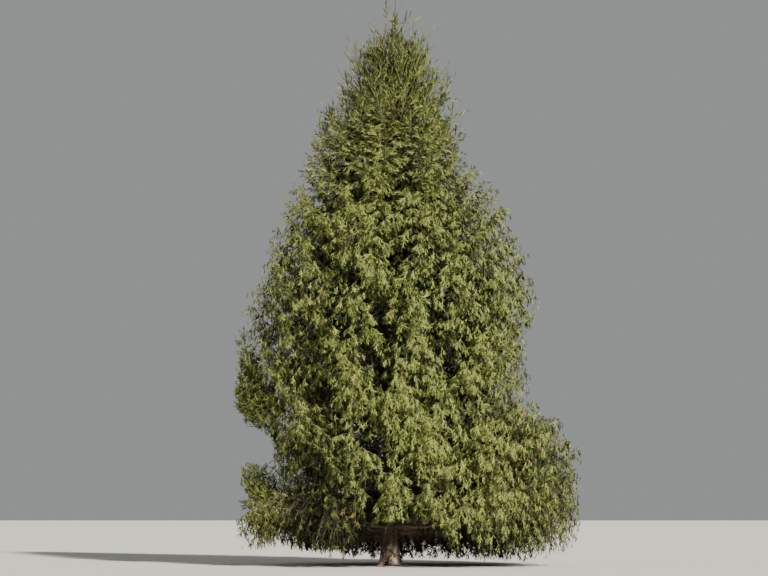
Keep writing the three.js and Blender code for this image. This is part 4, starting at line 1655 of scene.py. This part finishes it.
    def add_dead_twigs(self, limb: Limb, growth: Growth) -> None:
        """Hangs bare twigs from the part of a limb that has lost its needles.

        Args:
            limb: The limb.
            growth: What they are added to.
        """
        count = max(2, round(limb.length() * limb.bare_share / self.dead_twig_gap))
        root, heading = limb.at(limb.bare_share * self.chance(*self.dead_twig_places, count))
        hand = np.where(self.chance(0.0, 1.0, count) < 0.5, -1.0, 1.0)
        side = limb.frame(heading)[0] * (hand * self.chance(*self.dead_twig_spread, count))[:, None]
        out = unit(self.dead_twig_forward * heading + side - self.dead_twig_down * UP)
        room = self.dead_twig_room * (root[:, 2] - self.dead_twig_air)
        reach = np.minimum(self.chance(*self.dead_twig_lengths, count), room)
        growth.add_twigs(root, out, reach, self.dead_twig_sag, self.dead_twig_radius)

    def dress_foot(self, growth: Growth) -> None:
        """Grows the dead twigs that hang from the foot of the trunk.

        Args:
            growth: What they are added to.
        """
        count = self.trunk_twigs
        z = blend(*self.trunk_twig_levels, self.chance(0.0, 1.0, count) ** self.trunk_twig_crowding)
        azimuth = GOLDEN_TURN * np.arange(count)
        root = self.rule.place(azimuth, self.trunk_twig_depth * self.rule.trunk.wall(z, azimuth), z)
        stray = self.chance(*self.trunk_twig_stray, (count, 3))
        out = unit(outward(azimuth) + stray - self.trunk_twig_down * UP)
        reach = np.minimum(self.chance(*self.trunk_twig_lengths, count), self.trunk_twig_room * z)
        growth.add_twigs(root, out, reach, self.trunk_twig_sag, self.trunk_twig_radius)

    def dress_leader(self, growth: Growth) -> None:
        """Grows the short shoots of the trunk's bare top.

        Args:
            growth: What they are added to.
        """
        low, middle, high = (self.rule.trunk.height - under for under in self.leader_levels)
        lower, upper = self.leader_shoots
        z = np.concatenate([np.linspace(low, middle, lower), np.linspace(middle, high, upper)])
        under = self.rule.trunk.height - z
        side = outward(GOLDEN_TURN * np.arange(len(z)))
        lean = blend(*self.leader_leans, share_between(under, *self.leader_lean_depths))
        headings = unit(side * lean[:, None] + UP)
        lengths = self.chance(*self.leader_lengths, len(z))
        lengths += self.leader_growth * share_between(under, *self.leader_growth_depths)
        lengths = np.minimum(lengths, self.leader_room * under + self.leader_over)
        faces = unit(np.cross(headings, UP) + self.leader_face_shift)
        tones = self.chance.draw.integers(*self.leader_tones, len(z))
        slender = np.ones(len(z), bool)
        widths = lengths * self.top_narrowing
        places = self.rule.trunk.axis(z)
        growth.sprays.append(Sprays(places, headings, faces, lengths, widths, tones, slender))

    def grow(self, limbs: list[Limb]) -> dict[str, Growth]:
        """Grows the foliage of every limb.

        Args:
            limbs: The limbs.

        Returns:
            The growth of each tier, by name.
        """
        tiers = self.rule.tiers
        grown = {tier.name: Growth() for tier in tiers}
        for limb in limbs:
            self.dress(limb, grown[limb.tier])
        self.dress_leader(grown[tiers[-1].name])
        self.dress_foot(grown[tiers[0].name])
        # Dark sprays deep in the middle crown, dealt extra painted shade, fill the gaps seen through it.
        bottom, top = self.deep_levels
        for limb in limbs:
            if bottom < limb.root_height < top and limb.own_space is None and not limb.free:
                part = (limb.bare_share, self.deep_share)
                self.add_inner_sprays(limb, grown[limb.tier], part, self.deep_spray_gap, self.deep_shade)
        return grown


@dataclass(frozen=True)
class SprayShape:
    """A spray one unit long: a few shoots on a sagging stem, each edged with needle points."""

    shoots: int = 3
    shoot_places: Span = (0.08, 0.6)
    shoot_length: float = 0.55
    shoot_angle: float = 0.62
    shoot_turn: float = 0.9
    shoot_roll: float = 1.6
    place_scatter: Span = (0.0, 0.5)
    angle_scatter: Span = (0.75, 1.25)
    turn_scatter: Span = (-0.6, 0.4)
    length_scatter: Span = (0.75, 1.15)
    end_shoot: float = 0.55
    end_shoot_place: float = 0.45
    point_length: float = 0.25
    point_width: float = 0.125
    point_angle: float = 0.42
    side_points: tuple[Span, ...] = ((0.16, 1.0), (0.42, -1.0))
    side_point_width: float = 0.8
    end_aim: float = 0.5
    stem_aim: float = 0.6
    stem_length: float = 0.7
    stem_width: float = 0.07
    sag: float = 0.22
    # Shares of needle points painted zero, one and two tone steps darker, as shade inside the spray.
    shades: tuple[float, float, float] = (0.54, 0.14, 0.32)

    def stem_at(self, share: float) -> np.ndarray:
        """Gives the place at a share of the stem's length."""
        return np.array([0.0, share, -self.sag * share**2])

    def point(self, root: np.ndarray, heading: np.ndarray, aside: np.ndarray, size: Span) -> np.ndarray:
        """Gives the corners of one flat needle point, by its root, two directions, length and width."""
        half = aside * size[1] / 2.0
        return np.array([root - half, root + half, root + heading * size[0]])

    def shoot(self, root: np.ndarray, heading: np.ndarray, roll: float, length: float) -> list[np.ndarray]:
        """Makes one shoot: a long point with two shorter ones off its sides.

        Args:
            root: Its root.
            heading: The way it points.
            roll: How far it is rolled about itself.
            length: Its length.

        Returns:
            Its needle points.
        """
        level = unit(np.cross(heading, UP))
        aside = level * math.cos(roll) + np.cross(heading, level) * math.sin(roll)
        made = [self.point(root, heading, aside, (length, self.point_width))]
        size = (self.point_length, self.point_width * self.side_point_width)
        for share, hand in self.side_points:
            turned = heading * math.cos(self.point_angle) + hand * aside * math.sin(self.point_angle)
            across = np.cross(turned, np.cross(heading, aside))
            made.append(self.point(root + heading * length * share, turned, across, size))
        return made

    def corners(self, chance: Chance) -> np.ndarray:
        """Makes the spray's needle points.

        Args:
            chance: The source of chance.

        Returns:
            Three corners for each one.
        """
        half_roll = self.shoot_roll / 2.0
        ahead = unit(self.stem_at(1.0) - self.stem_at(self.end_aim))
        end = self.stem_at(self.end_shoot_place)
        made = self.shoot(end, ahead, chance(-half_roll, half_roll), self.end_shoot)
        stem = (self.stem_length, self.stem_width)
        made.append(self.point(self.stem_at(0.0), unit(self.stem_at(self.stem_aim)), RIGHT, stem))
        for number in range(self.shoots):
            share = blend(*self.shoot_places, (number + chance(*self.place_scatter)) / self.shoots)
            hand = 1.0 if number % 2 == 0 else -1.0
            angle = self.shoot_angle * chance(*self.angle_scatter)
            tilt = self.shoot_turn * chance(*self.turn_scatter)
            heading = unit(np.array([hand * math.sin(angle), math.cos(angle), tilt]))
            roll = chance(-half_roll, half_roll)
            length = self.shoot_length * chance(*self.length_scatter)
            made += self.shoot(self.stem_at(share), heading, roll, length)
        return np.array(made)

    def build(self, name: str, chance: Chance) -> bpy.types.Object:
        """Returns the spray as an object, its needle points dealt painted shade.

        Args:
            name: Its name.
            chance: The source of chance.

        Returns:
            The object.
        """
        corners = self.corners(chance)
        made = new_object(name, corners.reshape(-1, 3), faces=np.arange(len(corners) * 3).reshape(-1, 3))
        # Painted shade: each needle point is dealt zero, one or two steps of darker tone at random,
        # standing in for the spray's own shadow.
        shade = chance.draw.choice(len(self.shades), len(corners), p=self.shades)
        made.data.attributes.new("spray_shade", "INT", "FACE").data.foreach_set("value", shade)
        return made


def slender_shape() -> SprayShape:
    """Returns the spray of the top: two short shoots beside a straight, stout one."""
    shoots = {"shoots": 2, "shoot_places": (0.2, 0.6), "shoot_length": 0.34, "shoot_angle": 0.8}
    points = {"point_length": 0.18, "point_width": 0.22, "point_angle": 0.5, "stem_width": 0.2, "sag": 0.0}
    return SprayShape(**shoots, **points)


SPRAY_NUMBERS = {
    "spray_length": "FLOAT",
    "spray_width": "FLOAT",
    "spray_turn": "QUATERNION",
    "spray_shape": "INT",
    "spray_tone": "INT",
    "spray_shade": "INT",
}


def new_growth_tree(name: str, inputs: dict[str, str], output: str) -> bpy.types.NodeTree:
    """Makes an empty Geometry Nodes tree with named sockets.

    Args:
        name: Its name.
        inputs: The kinds of its inputs, by name.
        output: The name of its output geometry.

    Returns:
        The node tree.
    """
    tree = bpy.data.node_groups.new(name, "GeometryNodeTree")
    for socket, kind in inputs.items():
        tree.interface.new_socket(socket, in_out="INPUT", socket_type=f"NodeSocket{kind}")
    tree.interface.new_socket(output, in_out="OUTPUT", socket_type="NodeSocketGeometry")
    return tree


def spray_tree(shapes: bpy.types.Collection) -> bpy.types.NodeTree:
    """Makes the node tree that sets a spray on each point and gives it its tone, with the painted shade of
    its needle points.

    Args:
        shapes: The spray shapes that it picks from.

    Returns:
        The node tree.
    """
    inputs = {"Points": "Geometry", "Length": "Float", "Fullness": "Float"}
    inputs |= {tone.value[0]: "Material" for tone in NeedleTone}
    tree = new_growth_tree("needle sprays", inputs, "Sprays")
    given = add_node(tree, "NodeGroupInput", {}).node.outputs
    known = {
        name: add_node(tree, "GeometryNodeInputNamedAttribute", {"Name": name}, data_type=kind)
        for name, kind in SPRAY_NUMBERS.items()
    }
    # Painted shade: a needle point's tone is stepped darker by its shade, no further than the darkest shade
    # tone; dry needles keep their colour.
    tone = known["spray_tone"]
    inner_shade_limit = {0: tone, 1: float(list(NeedleTone).index(NeedleTone.INNER))}
    darker = add_node(tree, "ShaderNodeMath", {0: tone, 1: known["spray_shade"]}, operation="ADD")
    darkest = add_node(tree, "ShaderNodeMath", inner_shade_limit, operation="MAXIMUM")
    tint = add_node(tree, "ShaderNodeMath", {0: darker, 1: darkest}, operation="MINIMUM")
    length = {0: known["spray_length"], 1: given["Length"]}
    long = add_node(tree, "ShaderNodeMath", length, operation="MULTIPLY")
    width = {0: known["spray_width"], 1: given["Fullness"]}
    wide = add_node(tree, "ShaderNodeMath", width, operation="MULTIPLY")
    scale = add_node(tree, "ShaderNodeCombineXYZ", {"X": wide, "Y": long, "Z": wide})
    held = {"Collection": shapes, "Separate Children": True, "Reset Children": True}
    placing = {"Points": given["Points"], "Instance": add_node(tree, "GeometryNodeCollectionInfo", held)}
    placing |= {"Pick Instance": True, "Instance Index": known["spray_shape"]}
    placing |= {"Rotation": known["spray_turn"], "Scale": scale}
    placed = add_node(tree, "GeometryNodeInstanceOnPoints", placing)
    made = add_node(tree, "GeometryNodeRealizeInstances", {"Geometry": placed})
    for number, finish in enumerate(NeedleTone):
        match = {COMPARE_FIRST: tint, COMPARE_SECOND: number}
        same = add_node(tree, "FunctionNodeCompare", match, data_type="INT", operation="EQUAL")
        dressed = {"Geometry": made, "Selection": same, "Material": given[finish.value[0]]}
        made = add_node(tree, "GeometryNodeSetMaterial", dressed)
    add_node(tree, "NodeGroupOutput", {"Sprays": made})
    return tree


def twig_tree() -> bpy.types.NodeTree:
    """Returns the node tree that gives drawn paths the body of tapering twigs."""
    inputs = {"Paths": "Geometry", "Sides": "Int", "Thickness": "Float", "Bark": "Material"}
    tree = new_growth_tree("tapering twigs", inputs, "Twigs")
    given = add_node(tree, "NodeGroupInput", {}).node.outputs
    drawn = add_node(tree, "GeometryNodeInputNamedAttribute", {"Name": "twig_radius"}, data_type="FLOAT")
    thick = add_node(tree, "ShaderNodeMath", {0: drawn, 1: given["Thickness"]}, operation="MULTIPLY")
    curve = add_node(tree, "GeometryNodeMeshToCurve", {"Mesh": given["Paths"]})
    section = {"Resolution": given["Sides"], "Radius": 1.0}
    ring = add_node(tree, "GeometryNodeCurvePrimitiveCircle", section, mode="RADIUS")
    body = {"Curve": curve, "Profile Curve": ring, "Scale": thick, "Fill Caps": True}
    mesh = add_node(tree, "GeometryNodeCurveToMesh", body)
    real = add_node(tree, "GeometryNodeRealizeInstances", {"Geometry": mesh})
    made = add_node(tree, "GeometryNodeSetMaterial", {"Geometry": real, "Material": given["Bark"]})
    add_node(tree, "NodeGroupOutput", {"Twigs": made})
    return tree


def grown_mesh(made: bpy.types.Object, tree: bpy.types.NodeTree, inputs: dict) -> None:
    """Runs a node tree on an object and keeps the result as its plain mesh.

    Args:
        made: The object that holds the points or paths.
        tree: The node tree.
        inputs: The tree's inputs by name.
    """
    modifier = made.modifiers.new("growth", "NODES")
    modifier.node_group = tree
    for socket in tree.interface.items_tree:
        if socket.in_out == "INPUT" and socket.name in inputs:
            modifier[socket.identifier] = inputs[socket.name]
    made.update_tag()
    ready = bpy.context.evaluated_depsgraph_get()
    mesh = bpy.data.meshes.new_from_object(made.evaluated_get(ready))
    drawn = made.data
    made.modifiers.remove(modifier)
    made.data = mesh
    bpy.data.meshes.remove(drawn)
    mesh.name = made.name
    for name in [a.name for a in mesh.attributes if a.name.startswith(("spray_", "twig_"))]:
        mesh.attributes.remove(mesh.attributes[name])


def add_numbers(mesh: bpy.types.Mesh, name: str, kind: str, values: np.ndarray) -> None:
    """Gives a mesh's points a named number each, of kind FLOAT, INT or QUATERNION."""
    mesh.attributes.new(name, kind, "POINT").data.foreach_set("value", np.ravel(values))


def turns(headings: np.ndarray, faces: np.ndarray) -> np.ndarray:
    """Gives the turns that bring +Y to a heading and +Z near a face direction.

    Args:
        headings: The headings.
        faces: The face directions.

    Returns:
        Quaternions as w, x, y, z.
    """
    side = unit(np.cross(headings, faces))
    m = np.stack([side, headings, np.cross(side, headings)], -1)
    signs = np.array([[1.0, 1.0, 1.0], [1.0, -1.0, -1.0], [-1.0, 1.0, -1.0], [-1.0, -1.0, 1.0]])
    sums = 1.0 + np.diagonal(m, axis1=1, axis2=2) @ signs.T
    parts = np.sqrt(np.maximum(0.0, sums)) / 2.0
    for part, (row, column) in enumerate(((2, 1), (0, 2), (1, 0)), 1):
        parts[:, part] = np.copysign(parts[:, part], m[:, row, column] - m[:, column, row])
    return parts


@dataclass
class Coat:
    """The tree's needles and twigs as finished pieces."""

    rule: GrowthRule
    shape: SprayShape = SprayShape()
    slender: SprayShape = field(default_factory=slender_shape)
    shapes: int = 7
    slender_shapes: int = 2
    seed: int = 41
    most_sprays: int = 6500
    twig_sides: int = 3
    needle_tree: Any = None
    rod_tree: Any = None
    patterns: Any = None
    finishes: dict = field(default_factory=dict)

    def prepare(self) -> None:
        """Makes the spray shapes, the node trees and the needle materials."""
        self.patterns = bpy.data.collections.new("spray shapes")
        bpy.context.scene.collection.children.link(self.patterns)
        chance = Chance(self.seed)
        for number in range(self.shapes + self.slender_shapes):
            kind = self.shape if number < self.shapes else self.slender
            pattern = kind.build(f"spray_shape_{number}", chance)
            bpy.context.scene.collection.objects.unlink(pattern)
            self.patterns.objects.link(pattern)
        self.needle_tree = spray_tree(self.patterns)
        self.rod_tree = twig_tree()
        self.finishes = {tone.value[0]: Needles(tone).material() for tone in NeedleTone}

    def needles(self, name: str, sprays: Sprays, chosen: np.ndarray) -> bpy.types.Object:
        """Makes one piece of needles.

        Args:
            name: Its name.
            sprays: The tier's sprays.
            chosen: The numbers of the sprays that go into it.

        Returns:
            The piece.
        """
        own = Sprays(*[column[chosen] for column in sprays])
        shape = np.where(own.slender, self.shapes + chosen % self.slender_shapes, chosen % self.shapes)
        piece = new_object(name, own.places)
        values = (own.lengths, own.widths, turns(own.headings, own.faces), shape, own.tones)
        for (number, kind), column in zip(SPRAY_NUMBERS.items(), values):
            add_numbers(piece.data, number, kind, column)
        grown_mesh(piece, self.needle_tree, {"Length": 1.0, "Fullness": 1.0, **self.finishes})
        return piece

    def twigs(self, name: str, growth: Growth, bark: bpy.types.Material) -> bpy.types.Object:
        """Makes one piece of twigs.

        Args:
            name: Its name.
            growth: The growth that holds the twigs' paths.
            bark: Their material.

        Returns:
            The piece.
        """
        paths = np.concatenate(growth.twigs)
        steps = paths.shape[1]
        first = np.arange(len(paths))[:, None] * steps + np.arange(steps - 1)
        edges = np.stack([first, first + 1], -1).reshape(-1, 2)
        piece = new_object(name, paths.reshape(-1, 3), edges=edges)
        add_numbers(piece.data, "twig_radius", "FLOAT", np.concatenate(growth.twig_radii))
        grown_mesh(piece, self.rod_tree, {"Sides": self.twig_sides, "Thickness": 1.0, "Bark": bark})
        return piece

    def make(self, grown: dict[str, Growth], bark: bpy.types.Material) -> None:
        """Makes and dresses every piece of needles and twigs.

        Args:
            grown: The growth of each tier.
            bark: The twigs' material.
        """
        self.prepare()
        for tier in self.rule.tiers:
            growth = grown[tier.name]
            sprays = growth.all_sprays()
            order = np.argsort(self.rule.polar(sprays.places)[0])
            parts = math.ceil(len(order) / self.most_sprays)
            for number, chosen in enumerate(np.array_split(order, parts), 1):
                piece = self.needles(f"needles_{tier.name}_{number}", sprays, chosen)
                finish_piece(piece, tier.masses())
            finish_piece(self.twigs(f"twigs_{tier.name}", growth, bark), tier.masses())
        for pattern in list(self.patterns.objects):
            bpy.data.meshes.remove(pattern.data)
        bpy.data.collections.remove(self.patterns)


@dataclass(frozen=True)
class Studio:
    """A pale floor, soft light from the front right, and the camera at the photo's place."""

    floor_size: float = 600.0
    floor_colour: str = "#CBCAC5"
    floor_roughness: float = 0.9
    sky_colour: str = "#E6E8E8"
    sky_strength: float = 0.38
    key_strength: float = 9.5
    key_softness: float = 0.05
    key_from: tuple[float, float, float] = (0.55, -0.9, 0.62)
    key_colour: str = "#FFF8EC"
    camera_place: tuple[float, float, float] = (-0.166, -70.0, 1.6)
    camera_tilt: float = 5.285
    pixels_wide: float = 768.0
    focal_pixels: float = 2400.0

    def floor(self) -> None:
        """Lays the floor, of matt, pale plaster."""
        half = self.floor_size / 2.0
        corners = np.array([[-half, -half, 0.0], [half, -half, 0.0], [half, half, 0.0], [-half, half, 0.0]])
        sheet = new_object("pale_floor", corners, faces=[[0, 1, 2, 3]])
        made, shader = new_material("pale_plaster", self.floor_roughness)
        shader.inputs["Base Color"].default_value = linear_colour(self.floor_colour)
        sheet.data.materials.append(made)

    def light(self) -> None:
        """Sets the soft sky and the key light."""
        world = bpy.data.worlds.new("pale sky")
        world.use_nodes = True
        sky = world.node_tree.nodes["Background"]
        sky.inputs["Color"].default_value = linear_colour(self.sky_colour)
        sky.inputs["Strength"].default_value = self.sky_strength
        bpy.context.scene.world = world
        key = bpy.data.lights.new("key", "SUN")
        key.energy = self.key_strength
        key.angle = self.key_softness
        key.color = linear_colour(self.key_colour)[:3]
        lamp = bpy.data.objects.new("key", key)
        lamp.rotation_mode = "QUATERNION"
        lamp.rotation_quaternion = Vector(self.key_from).to_track_quat("Z", "Y")
        bpy.context.scene.collection.objects.link(lamp)

    def camera(self) -> None:
        """Sets the camera."""
        data = bpy.data.cameras.new("camera")
        data.lens = data.sensor_width * self.focal_pixels / self.pixels_wide
        data.clip_end = self.floor_size * 2.0
        seen = bpy.data.objects.new("camera", data)
        seen.location = self.camera_place
        seen.rotation_euler = (math.radians(90.0 + self.camera_tilt), 0.0, 0.0)
        bpy.context.scene.collection.objects.link(seen)
        bpy.context.scene.camera = seen


def main() -> None:
    """Builds the tree and its studio."""
    logging.basicConfig(level=logging.INFO, format="%(name)s: %(message)s")
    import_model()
    studio = Studio()
    studio.camera()
    studio.floor()
    studio.light()
    rule = GrowthRule()
    twig_bark = TwigBark().material()
    Trunk(rule).make(Bark().material())
    framework = Limbs(rule)
    limbs = framework.grow()
    LOG.info("%d limbs", len(limbs))
    framework.make(limbs, twig_bark)
    Coat(rule).make(Foliage(rule).grow(limbs), twig_bark)


if __name__ == "__main__":
    main()
